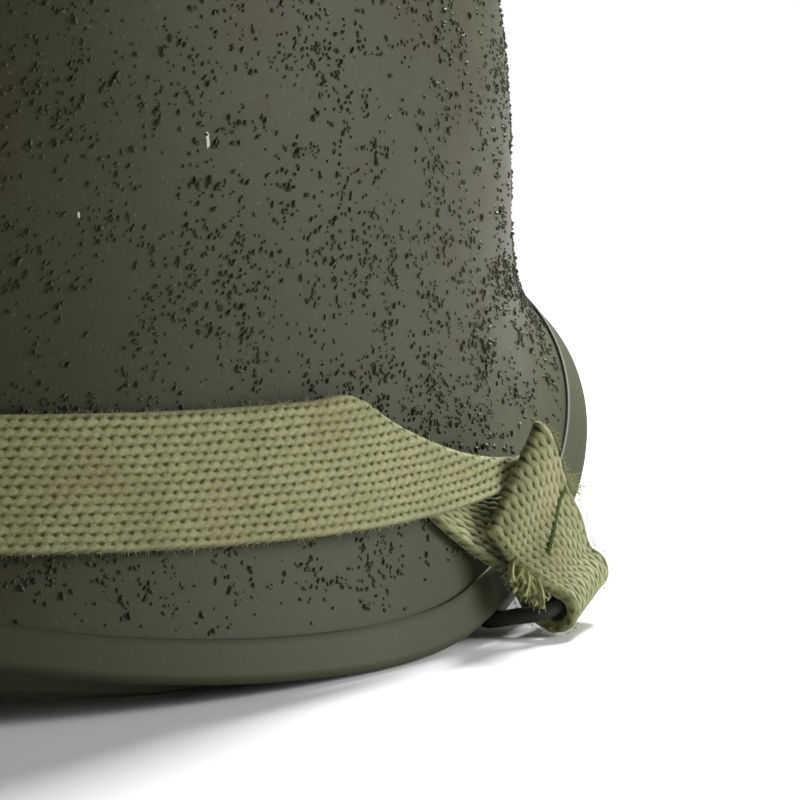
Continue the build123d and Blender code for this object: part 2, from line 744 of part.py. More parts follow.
def rivet(depth):
    """Round-headed rivet whose inner head starts at a depth under the liner's outer face."""
    shank = Pos(0, 0, (HEAD_SEAT - depth) / 2) * Cylinder(RIVET_SHANK / 2, depth + HEAD_SEAT)
    middle = HEAD_SEAT + RIVET_HEAD_DEPTH / 2
    outer = Pos(0, 0, middle) * Cylinder(RIVET_HEAD / 2, RIVET_HEAD_DEPTH)
    inner = Pos(0, 0, -depth - RIVET_HEAD_DEPTH / 2) * Cylinder(RIVET_HEAD / 2, RIVET_HEAD_DEPTH)
    return outer + shank + inner


def at_nape():
    return [liner_frame(angle, NAPE_HEIGHT) for angle in (-NAPE_ANGLE, NAPE_ANGLE)]


def at_studs():
    return [liner_frame(angle, STUD_HEIGHT) for angle in (-STUD_ANGLE, STUD_ANGLE)]


def at_eyelet():
    return [liner_frame(180, EYELET_HEIGHT)]


def liner_shell():
    bowl = bowl_solid(LINER_BOWL, 0, LINER_WALL)
    bowl = bored(bowl, at_rivets() + at_nape() + at_studs(), RIVET_SHANK / 2 + LAP)
    return bored(bowl, at_eyelet(), EYELET_BORE / 2 + EYELET_SHEET)


def a_washer():
    """Sheet washer in the shape of an A, wide at the foot, over the ends of the webbing."""
    foot, top = WASHER_WIDTH / 2, WASHER_WIDTH / 5
    low, high = -WASHER_HEIGHT * 0.45, WASHER_HEIGHT * 0.55
    outline = make_face(Polyline((-foot, low), (foot, low), (top, high), (-top, high), close=True))
    outline = fillet(outline.vertices(), top / 2)
    window = make_face(Polyline((-foot / 2, low * 0.7), (foot / 2, low * 0.7),
                                (foot / 3, low * 0.4), (-foot / 3, low * 0.4), close=True))
    plate = extrude(outline - window, amount=-WASHER_SHEET)
    return plate - Cylinder(RIVET_SHANK / 2, WASHER_SHEET * 4)


def suspension_band():
    """Webbing ring that the rivets hold to the liner and the headband draws in between them."""

    def section_at(angle):
        wave = sin(radians((angle - RIVET_ANGLES[0]) * 3)) ** 4
        frame = liner_frame(angle, rivet_height(angle), BAND_DEPTH + BAND_PULL * wave)
        corners = ((-1, 0), (1, 0), (1, -BAND_WEB), (-1, -BAND_WEB))
        half = BAND_WIDTH / 2
        return [frame.origin + frame.y_dir * half * y + frame.z_dir * z for y, z in corners]

    return bored(hoop(section_at, ring_angles(BAND_POINTS)), at_rivets(), RIVET_SHANK / 2 + LAP)


LACE_TURN = LACE / 2 + LAP + BAND_WEB / 2
CROWN_MIDDLE = Vector(0, WALL_MIDDLE, CROWN_HEIGHT - LINER_DEPTH - CROWN_RING_DROP)


def crown_strap(angle):
    """Webbing from a rivet up the inside of the liner, folded round the lace at the crown."""
    foot = liner_frame(angle, rivet_height(angle), STRAP_DEPTH + BAND_WEB / 2)
    inward = Vector(sin(radians(angle)), -cos(radians(angle)), 0)
    across = Vector(-cos(radians(angle)), -sin(radians(angle)), 0)
    tip = CROWN_MIDDLE - inward * CROWN_RING_RADIUS
    start = foot.origin - foot.y_dir * WASHER_HEIGHT * 0.45
    leave = foot.origin + foot.y_dir * WASHER_HEIGHT * 0.65
    pull = (tip - leave).length / 3
    above, before = leave + foot.y_dir * pull, tip - inward * pull
    places = [(start, foot.x_dir), (foot.origin, foot.x_dir)]
    for i in range(CROWN_STEPS + 1):
        t = i / CROWN_STEPS
        s = 1 - t
        point = leave * s ** 3 + above * 3 * s * s * t + before * 3 * s * t * t + tip * t ** 3
        places.append((point, (foot.x_dir * s + across * t).normalized()))
    for i in range(1, WRAP_STEPS + 1):
        place = pi * i / WRAP_STEPS
        step = inward * sin(place) - Vector(0, 0, 1) * (1 - cos(place))
        places.append((tip + step * LACE_TURN, across))
    places.append((places[-1][0] - inward * HEM_LENGTH, across))
    return bored(ribbon(band_sections(places, CROWN_STRAP_WIDTH, BAND_WEB)), [foot],
                 RIVET_SHANK / 2 + LAP)


def crown_lace():
    """Cord pulled straight through the turned ends of the crown straps."""
    share = 180 / len(RIVET_ANGLES)
    reach = CROWN_RING_RADIUS / cos(radians(share))
    corners = []
    for angle in RIVET_ANGLES:
        place = radians(angle + share)
        corners.append((-reach * sin(place), reach * cos(place)))
    ring = make_face(Polyline(*corners, close=True))
    path = fillet(ring.vertices(), LACE * 2).wire().moved(
        Pos(*(CROWN_MIDDLE - Vector(0, 0, 1) * LACE_TURN)))
    start = Plane(origin=path.position_at(0), z_dir=path.tangent_at(0))
    return sweep(start * Circle(LACE / 2), path=path)


def headband_frame(angle, depth):
    """Plane on the headband's outer face at its upper edge: Y is up and Z points outward."""
    frame = liner_frame(angle, rivet_height(angle), LINER_WALL + HEADBAND_INSET)
    out = Vector(frame.z_dir.X, frame.z_dir.Y, 0).normalized()
    top = frame.origin + Vector(0, 0, 1) * BAND_WIDTH / 2 - out * depth
    return Plane(origin=top, x_dir=Vector(0, 0, 1).cross(out), z_dir=out)


def band_points(frame, corners):
    return [frame.origin + frame.y_dir * y + frame.z_dir * z for y, z in corners]


def headband_section(angle):
    low = -HEADBAND_WIDTH
    corners = ((low, 0), (0, 0), (0, -BAND_WEB), (low, -BAND_WEB))
    return band_points(headband_frame(angle, 0), corners)


def leather_section(angle):
    """Leather over the inner face of the headband, turned up round its lower edge."""
    low, sheet, back = -HEADBAND_WIDTH - LAP, HEADBAND_LEATHER, BAND_WEB + LAP
    corners = ((0, 0), (0, -sheet), (low - sheet, -sheet), (low - sheet, back + sheet),
               (low + LEATHER_TURN, back + sheet), (low + LEATHER_TURN, back), (low, back), (low, 0))
    return band_points(headband_frame(angle, BAND_WEB + LAP), corners)


def headband_clip(angle):
    """Sheet clip over the upper edge of the suspension band, which carries the headband."""
    band = liner_frame(angle, rivet_height(angle), BAND_DEPTH + BAND_PULL)
    tall = BAND_WIDTH / 2 + CLIP_PLAY + CLIP_SHEET
    hollow = BAND_WEB + CLIP_PLAY * 2
    outer = Box(CLIP_WIDTH, tall, hollow + CLIP_SHEET * 2)
    inner = Pos(0, -CLIP_SHEET, 0) * Box(CLIP_WIDTH, tall, hollow)
    return band * Pos(0, tall / 2, -BAND_WEB / 2) * (outer - inner)


def nape_strap():
    """Webbing band across the nape, riveted to the liner at both ends."""

    def section_at(angle):
        wave = cos(radians(angle / NAPE_ANGLE * 90)) ** 2
        frame = liner_frame(angle, NAPE_HEIGHT, BAND_DEPTH + NAPE_PULL * wave)
        half = NAPE_STRAP_WIDTH / 2
        corners = ((-1, 0), (1, 0), (1, -BAND_WEB), (-1, -BAND_WEB))
        return [frame.origin + frame.y_dir * half * y + frame.z_dir * z for y, z in corners]

    reach = NAPE_ANGLE + NAPE_LAP
    angles = [-reach + 2 * reach * i / NAPE_STEPS for i in range(NAPE_STEPS + 1)]
    return bored(hoop(section_at, angles, closed=False), at_nape(), RIVET_SHANK / 2 + LAP)


def eyelet():
    """Rolled eyelet in the front of the liner."""
    radius = EYELET_BORE / 2 + EYELET_SHEET - LAP
    sleeve = Pos(0, 0, -LINER_WALL / 2) * Cylinder(radius, LINER_WALL + HEAD_SEAT * 2)
    flange = Cylinder(EYELET_FLANGE / 2, EYELET_SHEET)
    edge = HEAD_SEAT + EYELET_SHEET / 2
    body = sleeve + Pos(0, 0, edge) * flange + Pos(0, 0, -LINER_WALL - edge) * flange
    return body - Cylinder(EYELET_BORE / 2, LINER_WALL * 4)


os.makedirs("parts", exist_ok=True)
save("steel_shell", bowl_solid(STEEL_BOWL, 0, STEEL))
save("rim_strip", rim_strip())
plate, loop, end = loop_plate(), wire_loop(), strap_end()
save("loop_plate_right", plate)
save("loop_plate_left", other_side(plate))
save("wire_loop_right", loop)
save("wire_loop_left", other_side(loop))
save("strap_end_right", end)
save("strap_end_left", other_side(end))
turned = under_layer()
save("strap_turn_right", turned)
save("strap_turn_left", other_side(turned))
buckle, hook, end_clip = strap_buckle(), strap_hook(), strap_end_clip()
save("strap_buckle", buckle)
save("strap_hook", hook)
save("strap_end_clip", end_clip)
save("chinstrap_right", chinstrap(BUCKLE_X, BUCKLE_BAR / 2, STRAP_RETURN, RETURN_GAP))
save("chinstrap_left", other_side(chinstrap(-HOOK_BAR_X, HOOK_BAR / 2, HOOK_RETURN, FIT)))
save("liner_shell", liner_shell())
save("suspension_band", suspension_band())
save("crown_straps", *[crown_strap(angle) for angle in RIVET_ANGLES])
save("crown_lace", crown_lace())
washer = a_washer()
save("a_washers", *[plane * Pos(0, 0, -WASHER_DEPTH) * washer for plane in at_rivets()])
save("suspension_rivets", *[plane * rivet(RIVET_DEPTH) for plane in at_rivets()])
save("headband_webbing", hoop(headband_section, ring_angles(HEADBAND_POINTS)))
save("headband_leather", hoop(leather_section, ring_angles(HEADBAND_POINTS)))
save("headband_clips", *[headband_clip(angle - RIVET_ANGLES[0]) for angle in RIVET_ANGLES])
save("nape_strap", nape_strap())
save("nape_rivets", *[plane * rivet(BAND_DEPTH + BAND_WEB + FIT * 2) for plane in at_nape()])
save("liner_studs", *[plane * rivet(LINER_WALL + LAP) for plane in at_studs()])
save("liner_eyelet", *[plane * eyelet() for plane in at_eyelet()])
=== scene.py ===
from collections import namedtuple
from math import atan2, ceil, cos, degrees, pi, radians, sin, sqrt

import bpy
import numpy as np
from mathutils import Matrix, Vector


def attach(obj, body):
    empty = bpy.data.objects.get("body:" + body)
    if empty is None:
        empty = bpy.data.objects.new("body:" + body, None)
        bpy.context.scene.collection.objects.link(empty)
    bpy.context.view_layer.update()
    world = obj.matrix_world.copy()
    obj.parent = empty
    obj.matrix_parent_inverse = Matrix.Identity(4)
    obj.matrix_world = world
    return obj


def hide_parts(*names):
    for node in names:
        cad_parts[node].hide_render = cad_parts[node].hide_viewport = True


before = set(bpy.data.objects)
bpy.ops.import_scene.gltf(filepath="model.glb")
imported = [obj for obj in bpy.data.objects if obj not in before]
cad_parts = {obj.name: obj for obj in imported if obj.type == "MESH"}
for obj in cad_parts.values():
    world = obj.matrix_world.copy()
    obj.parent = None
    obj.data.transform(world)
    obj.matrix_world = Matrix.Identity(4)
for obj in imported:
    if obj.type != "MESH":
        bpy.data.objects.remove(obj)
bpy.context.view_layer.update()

# The steel pot helmet, dressed. Forms are worked out in millimetres, as in the part's source, and
# turned into metres when a mesh is made. +Z is up, the visor looks along -Y, angle 0 is the nape.
MM = 0.001

# Steel bowl
RIM_HALF_WIDTH, RIM_FRONT, RIM_REAR, RIM_MIDDLE, RIM_FULLNESS = 119.3, 146.9, 131.0, 8.0, 2.1
RIM_FLOOR_GAP, VISOR_RISE = 1.6, 41.5
RIM_RISE_SHARES = (
    (0, 0.38), (18, 0.36), (36, 0.295), (50, 0.19), (59, 0.108), (69, 0.046), (79, 0.011),
    (87, 0.0), (94, 0.02), (100, 0.083), (107, 0.171), (119, 0.335), (133, 0.578),
    (147, 0.802), (160, 0.93), (180, 1.0),
)
WALL_HALF_WIDTH, WALL_FRONT, WALL_REAR, WALL_MIDDLE, WALL_FULLNESS = 111.5, 123.5, 115.0, 7.0, 2.12
WALL_HEIGHTS = (56.0, 46.0, 79.0)
CROWN_HEIGHT, DOME_FULLNESS = 179.0, 2.4
BRIM_SLOPES = (52, 70, 35)
BRIM_TOP_SHARE, BRIM_EDGE_SHARE = 0.45, 0.3
STEEL = 1.1
STRIP_LEG, STRIP_SHEET, STRIP_CRIMP, STRIP_JOINT = 5.0, 0.5, 0.12, 0.4

# Loop and webbing
WIRE = 2.4
LOOP_BAR = np.array((-123.6, -26.2, 6.1))
LOOP_RUN_SHARES = (0.21, -0.95, 0.2)
LOOP_OUT_SHARES = (-0.97, -0.24, 0.2)
WEB_WIDTH, WEB, WEB_GAP = 19.0, 1.7, 0.35
STRAP_HEIGHT_REAR, STRAP_HEIGHT_SIDE = 27.0, 19.6
STRAP_TURN_ANGLE, STRAP_TIP_ANGLE, STRAP_TIP_SHARE = 82, 105, 0.26
CREASE_HOLLOW_SHARE = 0.8
LIFT_RUN, FLAP_PLAY, TIP_LIFT, TIP_RISE_SHARE = 28.0, 0.5, 1.9, 0.1
FLAP_SHARES = (0.2, 0.4, 0.6, 0.8, 0.97)
UNDER_SHARES = (
    ((-0.69, -1.17, 1.1), (-0.42, 0.2, 0.91)),
    ((-0.4, -0.6, 0.44), (-0.21, 0.23, 0.87)),
    ((-0.29, -0.46, 0.31), (-0.06, 0.42, 0.71)),
)
UNDER_STEPS, UNDER_ROWS = 4, 3
END_SHARES = (
    ((-0.19, 0.01, 0.46), (0.2, 0.92, 0.34)),
    ((-0.22, 0.02, 0.24), (0.09, 0.98, 0.17)),
)
BAR_TURNS = (-150, -105, -60, -15, 30, 62)
BAR_SLACK, BAR_SAG = 0.7, 0.5
FACE_SHARES = (
    ((0.01, -0.1, 0.36), (0.12, 0.97, 0.22)),
    ((-0.06, -0.18, 0.58), (0.22, 0.9, 0.37)),
    ((-0.07, -0.34, 0.94), (0.4, 0.64, 0.65)),
)
HEM_TURN_SHARES = ((-0.1, -0.35, 1.02), (0.4, 0.64, 0.65))
HEM_SHARES = (
    ((-0.11, -0.22, 0.92), (0.4, 0.64, 0.65)),
    ((-0.09, -0.055, 0.55), (0.22, 0.9, 0.37)),
)
BUCKLE_X, BUCKLE_LENGTH, BUCKLE_BAR, STRAP_RETURN = -24.0, 17.0, 2.4, 46.0
CLIP_SHEET, CLIP_PLAY, WRAP_PLAY, FIT, WRAP_STEPS = 0.5, 0.45, 0.7, 0.2, 6
HOOK_LENGTH, HOOK_BAR, HOOK_RETURN = 20.0, 3.0, 15.0

# Liner and its suspension
LINER_GAP, LINER_WALL = 1.5, 2.2
LINER_INSETS = (9.4, 10.4, 5.0)
LINER_EDGE_RISE, LINER_VISOR_RISE = 0.73, 49.0
LINER_RISE_SHARES = (
    (0, 0.23), (20, 0.21), (36, 0.147), (52, 0.064), (62, 0.018), (72, 0.0), (82, 0.065),
    (95, 0.2), (107, 0.35), (121, 0.59), (136, 0.8), (152, 0.94), (180, 1.0),
)
RIVET_HEIGHTS = (80.0, 76.0, 92.0)
RIVET_ANGLES = (30, 90, 150, 210, 270, 330)
LAP, WALL_PLAY = 0.15, 0.75
BAND_WIDTH, BAND_WEB, BAND_PULL = 22.0, 1.2, 14.0
CROWN_STRAP_WIDTH, CROWN_RING_RADIUS, CROWN_RING_DROP = 19.0, 27.0, 30.0
LACE, HEM_LENGTH, WASHER_HEIGHT = 3.0, 13.0, 21.0
HEADBAND_INSET, HEADBAND_WIDTH, HEADBAND_LEATHER, LEATHER_TURN = 18.8, 34.0, 1.4, 9.0
NAPE_ANGLE, NAPE_STRAP_WIDTH, NAPE_HEIGHT, NAPE_PULL, NAPE_LAP = 44, 20.0, 38.0, 15.0, 3
CROWN_STEPS = 12

Bowl = namedtuple("Bowl", "rim wall rim_height wall_heights crown")
UPWARD, FLAT = np.array((0, 0, 1.0)), np.array((1, 1, 0))
# Small step of level, highest level searched, number of halvings in a search
PROBE, SEARCH_TOP, HALVINGS = 0.002, 1.95, 30


# Forms

def length(v):
    return np.linalg.norm(v, axis=-1)


def unit(v):
    return v / length(v)[..., None]


def vec(x, y, z):
    return np.stack(np.broadcast_arrays(x, y, z), axis=-1).astype(float)


def bezier(a, b, c, d, s):
    """Cubic curve that runs from d at 0 to a at 1."""
    t = 1 - s
    return a * s ** 3 + b * 3 * s * s * t + c * 3 * s * t * t + d * t ** 3


def swing(angle, rear, side, front):
    """A value that passes from the rear over the side to the front."""
    turn = np.cos(np.radians(angle))
    return side + (np.where(turn > 0, rear, front) - side) * turn ** 2


def spline(values, slopes, places, wanted):
    """Smooth curve through values with slopes at rising places, read at the wanted places."""
    i = np.clip(np.searchsorted(places, wanted, side="right") - 1, 0, len(places) - 2)
    span = places[i + 1] - places[i]
    spread = (...,) + (None,) * (values.ndim - 1)
    t, span = ((wanted - places[i]) / span)[spread], span[spread]
    a, b, c, d = values[i], values[i + 1], slopes[i] * span, slopes[i + 1] * span
    return (a * (1 + 2 * t) * (1 - t) ** 2 + c * t * (1 - t) ** 2
            + b * t * t * (3 - 2 * t) - d * t * t * (1 - t))


def smooth(values, places, wanted):
    return spline(values, np.gradient(values, places, axis=0), places, wanted)


def through(stations, angle):
    """A smooth curve through stations of angle and value, the same on both sides."""
    angle = np.abs((np.asarray(angle, float) + 180) % 360 - 180)
    xs, ys = np.array(stations, float).T
    slopes = np.zeros(len(xs))
    slopes[1:-1] = (ys[2:] - ys[:-2]) / (xs[2:] - xs[:-2])
    return spline(ys, slopes, xs, angle)


def on_outline(outline, angle):
    half_width, front, rear, middle, power = outline
    s, c = np.sin(np.radians(angle)), np.cos(np.radians(angle))
    reach = np.where(c > 0, rear, front)
    radius = (np.abs(s / half_width) ** power + np.abs(c / reach) ** power) ** (-1 / power)
    return -radius * s, middle + radius * c


def on_bowl(bowl, angle, level):
    """Point of a bowl's skin: level 0 is the rim, 1 the foot of the dome and 2 the crown."""
    angle, level = np.broadcast_arrays(np.asarray(angle, float), np.asarray(level, float))
    wall_x, wall_y = on_outline(bowl.wall, angle)
    wall_z = swing(angle, *bowl.wall_heights)
    turn = np.clip(level - 1, 0, 1) * np.pi / 2
    s, c = np.sin(turn), np.maximum(np.cos(turn), 0)
    radius = (s ** DOME_FULLNESS + c ** DOME_FULLNESS) ** (-1 / DOME_FULLNESS)
    share, lift = radius * c, radius * s
    middle = bowl.wall[3]
    dome = vec(wall_x * share, middle + (wall_y - middle) * share,
               wall_z + (bowl.crown - wall_z) * lift)
    rim_x, rim_y = on_outline(bowl.rim, angle)
    rim_z = bowl.rim_height(angle)
    wall, rim = vec(wall_x, wall_y, wall_z), vec(rim_x, rim_y, rim_z)
    drop = (wall_z - rim_z)[..., None]
    out = unit(vec(rim_x - wall_x, rim_y - wall_y, 0))
    slope = np.radians(swing(angle, *BRIM_SLOPES))[..., None]
    upper = wall - UPWARD * drop * BRIM_TOP_SHARE
    lower = rim - (out * np.cos(slope) - UPWARD * np.sin(slope)) * drop * BRIM_EDGE_SHARE
    brim = bezier(wall, upper, lower, rim, np.clip(level, 0, 1)[..., None])
    return np.where((level >= 1)[..., None], dome, brim)


def round_bowl(bowl, angle, level):
    """Small step round a bowl's skin."""
    step = degrees(PROBE)
    return on_bowl(bowl, angle + step, level) - on_bowl(bowl, angle - step, level)


def outward(bowl, angle, level):
    """Unit normal of a bowl's skin, away from the head."""
    above, below = np.minimum(level + PROBE, 2), np.maximum(level - PROBE, 0)
    up = on_bowl(bowl, angle, above) - on_bowl(bowl, angle, below)
    return unit(np.cross(round_bowl(bowl, angle, level), up))


def inset(bowl, angle, level, depth):
    return on_bowl(bowl, angle, level) - outward(bowl, angle, level) * np.asarray(depth)[..., None]


def halve(low, short):
    """Level, from low upwards, at which short stops being true."""
    high = np.full(low.shape, SEARCH_TOP)
    for _ in range(HALVINGS):
        middle = (low + high) / 2
        under = short(middle)
        low, high = np.where(under, middle, low), np.where(under, high, middle)
    return low


def level_at(bowl, angle, height):
    """Level at which a bowl's skin reaches a height."""
    angle, height = np.broadcast_arrays(np.asarray(angle, float), np.asarray(height, float))
    return halve(np.zeros(angle.shape), lambda level: on_bowl(bowl, angle, level)[..., 2] < height)


def level_beyond(bowl, angle, level, distance):
    """Level at which a bowl's skin is a straight distance up from another level."""
    foot = on_bowl(bowl, angle, level)

    def short(place):
        return length(on_bowl(bowl, angle, place) - foot) < distance

    return halve(np.broadcast_to(level, np.shape(angle)) + 0.0, short)


def steel_rim_height(angle):
    return RIM_FLOOR_GAP + VISOR_RISE * through(RIM_RISE_SHARES, angle)


def liner_rim_height(angle):
    return LINER_EDGE_RISE + LINER_VISOR_RISE * through(LINER_RISE_SHARES, angle)


POT = Bowl((RIM_HALF_WIDTH, RIM_FRONT, RIM_REAR, RIM_MIDDLE, RIM_FULLNESS),
           (WALL_HALF_WIDTH, WALL_FRONT, WALL_REAR, WALL_MIDDLE, WALL_FULLNESS),
           steel_rim_height, WALL_HEIGHTS, CROWN_HEIGHT)
LINER_DEPTH = STEEL + LINER_GAP
LINER = Bowl((RIM_HALF_WIDTH - LINER_INSETS[0], RIM_FRONT - LINER_INSETS[1],
              RIM_REAR - LINER_INSETS[2], RIM_MIDDLE, RIM_FULLNESS),
             (WALL_HALF_WIDTH - LINER_DEPTH, WALL_FRONT - LINER_DEPTH,
              WALL_REAR - LINER_DEPTH, WALL_MIDDLE, WALL_FULLNESS),
             liner_rim_height, WALL_HEIGHTS, CROWN_HEIGHT - LINER_DEPTH)


# Meshes and materials

def link(obj):
    bpy.context.scene.collection.objects.link(obj)
    return obj


def finish_object(obj, body, look, nodes=()):
    """Give a piece its look, the body that it moves with and the nodes it replaces."""
    link(obj).data.materials.append(MATERIALS[look])
    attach(obj, body)
    if nodes:
        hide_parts(*nodes)


def mesh_of(name, verts, faces):
    mesh = bpy.data.meshes.new(name)
    mesh.from_pydata((np.asarray(verts) * MM).tolist(), [], faces)
    mesh.polygons.foreach_set("use_smooth", [True] * len(mesh.polygons))
    mesh.update()
    return bpy.data.objects.new(name, mesh)


def set_attribute(obj, name, values):
    layer = obj.data.attributes.new(name, "FLOAT", "POINT")
    layer.data.foreach_set("value", np.asarray(values, dtype=np.float32))


def grid_faces(rows, columns):
    """Quads of a grid of points, row by row, with the columns joined round."""
    r, c = np.meshgrid(np.arange(rows - 1), np.arange(columns), indexing="ij")
    d = (c + 1) % columns
    quads = np.stack([r * columns + c, r * columns + d, (r + 1) * columns + d,
                      (r + 1) * columns + c], axis=-1)
    return quads.reshape(-1, 4).tolist()


def hoop_faces(rows, columns):
    """Quads of a grid whose columns join round and whose last row joins its first."""
    last = (rows - 1) * columns
    return grid_faces(rows, columns) + [
        [last + c, last + (c + 1) % columns, (c + 1) % columns, c] for c in range(columns)]


def tube(name, paths, radius, resolution=3):
    """One curve object of many round threads, each a list of points in millimetres."""
    curve = bpy.data.curves.new(name, "CURVE")
    curve.dimensions = "3D"
    curve.bevel_depth = radius * MM
    curve.bevel_resolution = resolution
    curve.use_fill_caps = True
    curve.resolution_u = 4
    for points in paths:
        thread = curve.splines.new("NURBS")
        thread.points.add(len(points) - 1)
        for place, point in zip(thread.points, points):
            place.co = (*(np.asarray(point) * MM), 1)
        thread.order_u = 3
        thread.use_endpoint_u = True
    return bpy.data.objects.new(name, curve)


class Nodes:
    """Short way to write a material's node tree."""

    def __init__(self, name, roughness, specular=0.5):
        self.material = bpy.data.materials.new(name)
        self.material.use_nodes = True
        self.tree = self.material.node_tree
        self.shader = self.tree.nodes["Principled BSDF"]
        self.shader.inputs["Roughness"].default_value = roughness
        self.shader.inputs["Specular IOR Level"].default_value = specular
        self.place = self.add("TexCoord").outputs["Object"]

    def add(self, kind, **inputs):
        node = self.tree.nodes.new("ShaderNode" + kind)
        for key, value in inputs.items():
            self.put(node.inputs[key.replace("_", " ")], value)
        return node

    def put(self, socket, value):
        if isinstance(value, bpy.types.NodeSocket):
            self.tree.links.new(value, socket)
        else:
            socket.default_value = value

    def noise(self, scale, detail=2.0, roughness=0.5, place=None):
        return self.add("TexNoise", Vector=place or self.place, Scale=scale,
                        Detail=detail, Roughness=roughness).outputs["Fac"]

    def attribute(self, name):
        node = self.add("Attribute")
        node.attribute_name = name
        return node.outputs["Fac"]

    def ramp(self, value, *stops):
        node = self.add("ValToRGB", Fac=value)
        ramp = node.color_ramp
        while len(ramp.elements) < len(stops):
            ramp.elements.new(0.5)
        for element, (place, colour) in zip(ramp.elements, stops):
            element.position = place
            element.color = (*colour, 1)
        return node.outputs["Color"]

    def grey(self, value, low, high):
        return self.ramp(value, (low, (0, 0, 0)), (high, (1, 1, 1)))

    def operation(self, node, kind, a, b):
        node = self.add(node)
        node.operation = kind
        self.put(node.inputs[0], a)
        self.put(node.inputs[1], b)
        return node.outputs

    def patches(self, share, low, high, *noise):
        """Soft patches of a share, with none between them."""
        return self.math("MULTIPLY", self.grey(self.noise(*noise), low, high), share)

    def math(self, kind, a, b=0.0):
        return self.operation("Math", kind, a, b)[0]

    def vector(self, kind, a, b=(0, 0, 0)):
        outputs = self.operation("VectorMath", kind, a, b)
        return outputs["Value" if kind == "LENGTH" else "Vector"]

    def mix(self, factor, a, b):
        node = self.add("Mix")
        node.data_type = "RGBA"
        self.put(node.inputs[0], factor)
        for i, value in ((6, a), (7, b)):
            socket = isinstance(value, bpy.types.NodeSocket)
            self.put(node.inputs[i], value if socket else (*value, 1))
        return node.outputs[2]

    def bump(self, height, distance, strength=1.0, normal=None):
        node = self.add("Bump", Height=height, Distance=distance * MM, Strength=strength)
        if normal:
            self.put(node.inputs["Normal"], normal)
        return node.outputs["Normal"]

    def finish(self, colour, normal, roughness=None):
        self.put(self.shader.inputs["Base Color"], colour)
        self.put(self.shader.inputs["Normal"], normal)
        if roughness:
            self.put(self.shader.inputs["Roughness"], roughness)
        return self.material


PAINT, PAINT_DARK, PAINT_BROWN = (0.054, 0.054, 0.03), (0.041, 0.041, 0.022), (0.043, 0.031, 0.017)
PAINT_DUST, BARE_CHIP = (0.16, 0.155, 0.11), (0.5, 0.5, 0.48)
PAINT_SPECULAR = 0.07
# Place, half width and half height of each bare chip
CHIPS = (((-104.7, 45.9, 76.2), 0.34, 1.6), ((-96.8, 66.9, 67.4), 0.2, 0.5))


def paler(colour, times):
    return tuple(min(c * times, 1) for c in colour)


def chipped(n, place, half_width, half_height):
    """1 inside an upright sliver at a place, with a ragged edge."""
    gap = n.vector("SUBTRACT", n.place, tuple(c * MM for c in place))
    scale = (1 / half_width / MM, 1 / half_width / MM, 1 / half_height / MM)
    reach = n.vector("LENGTH", n.vector("MULTIPLY", gap, scale))
    ragged = n.math("ADD", reach, n.math("MULTIPLY", n.noise(2500, 2), 1.4))
    return n.math("LESS_THAN", ragged, 1.5)


def grit_paint():
    """Matt olive paint, clouded, with brown stains and fine dust in it."""
    n = Nodes("grit_paint", 0.5, PAINT_SPECULAR)
    cloud = n.noise(18, 3)
    colour = n.mix(n.grey(cloud, 0.35, 0.7), PAINT_DARK, PAINT)
    colour = n.mix(n.patches(0.5, 0.56, 0.72, 42, 3, 0.6), colour, PAINT_BROWN)
    colour = n.mix(n.patches(0.35, 0.66, 0.8, 1100, 2), colour, PAINT_DUST)
    for chip in CHIPS:
        colour = n.mix(chipped(n, *chip), colour, BARE_CHIP)
    fine = n.bump(n.noise(2600, 3, 0.6), 0.1, 0.45)
    speck = n.add("TexVoronoi", Vector=n.place, Scale=900.0, Randomness=1.0)
    sparse = n.math("MULTIPLY", n.math("LESS_THAN", speck.outputs["Distance"], 0.3),
                    n.grey(n.noise(160, 2), 0.48, 0.6))
    normal = n.bump(sparse, 0.25, 0.6, fine)
    rough = n.math("ADD", n.math("MULTIPLY", cloud, 0.2), 0.42)
    return n.finish(colour, normal, rough)


def plain_paint(name, colour, shade, scale=30.0, wear=0.25, roughness=0.55):
    """Matt paint without grit, rubbed paler here and there."""
    n = Nodes(name, roughness, PAINT_SPECULAR)
    base = n.mix(n.grey(n.noise(scale, 3), 0.3, 0.7), shade, colour)
    base = n.mix(n.patches(wear, 0.62, 0.8, 220, 4, 0.7), base, paler(colour, 2.0))
    return n.finish(base, n.bump(n.noise(1400, 3), 0.08, 0.35))


def metal(name, colour, tarnish, roughness=0.45):
    """Worn dark metal."""
    n = Nodes(name, roughness)
    n.shader.inputs["Metallic"].default_value = 0.7
    base = n.mix(n.grey(n.noise(260, 4, 0.6), 0.35, 0.65), tarnish, colour)
    return n.finish(base, n.bump(n.noise(1800, 2), 0.05, 0.4))


FIBRE_SLANT = 0.55


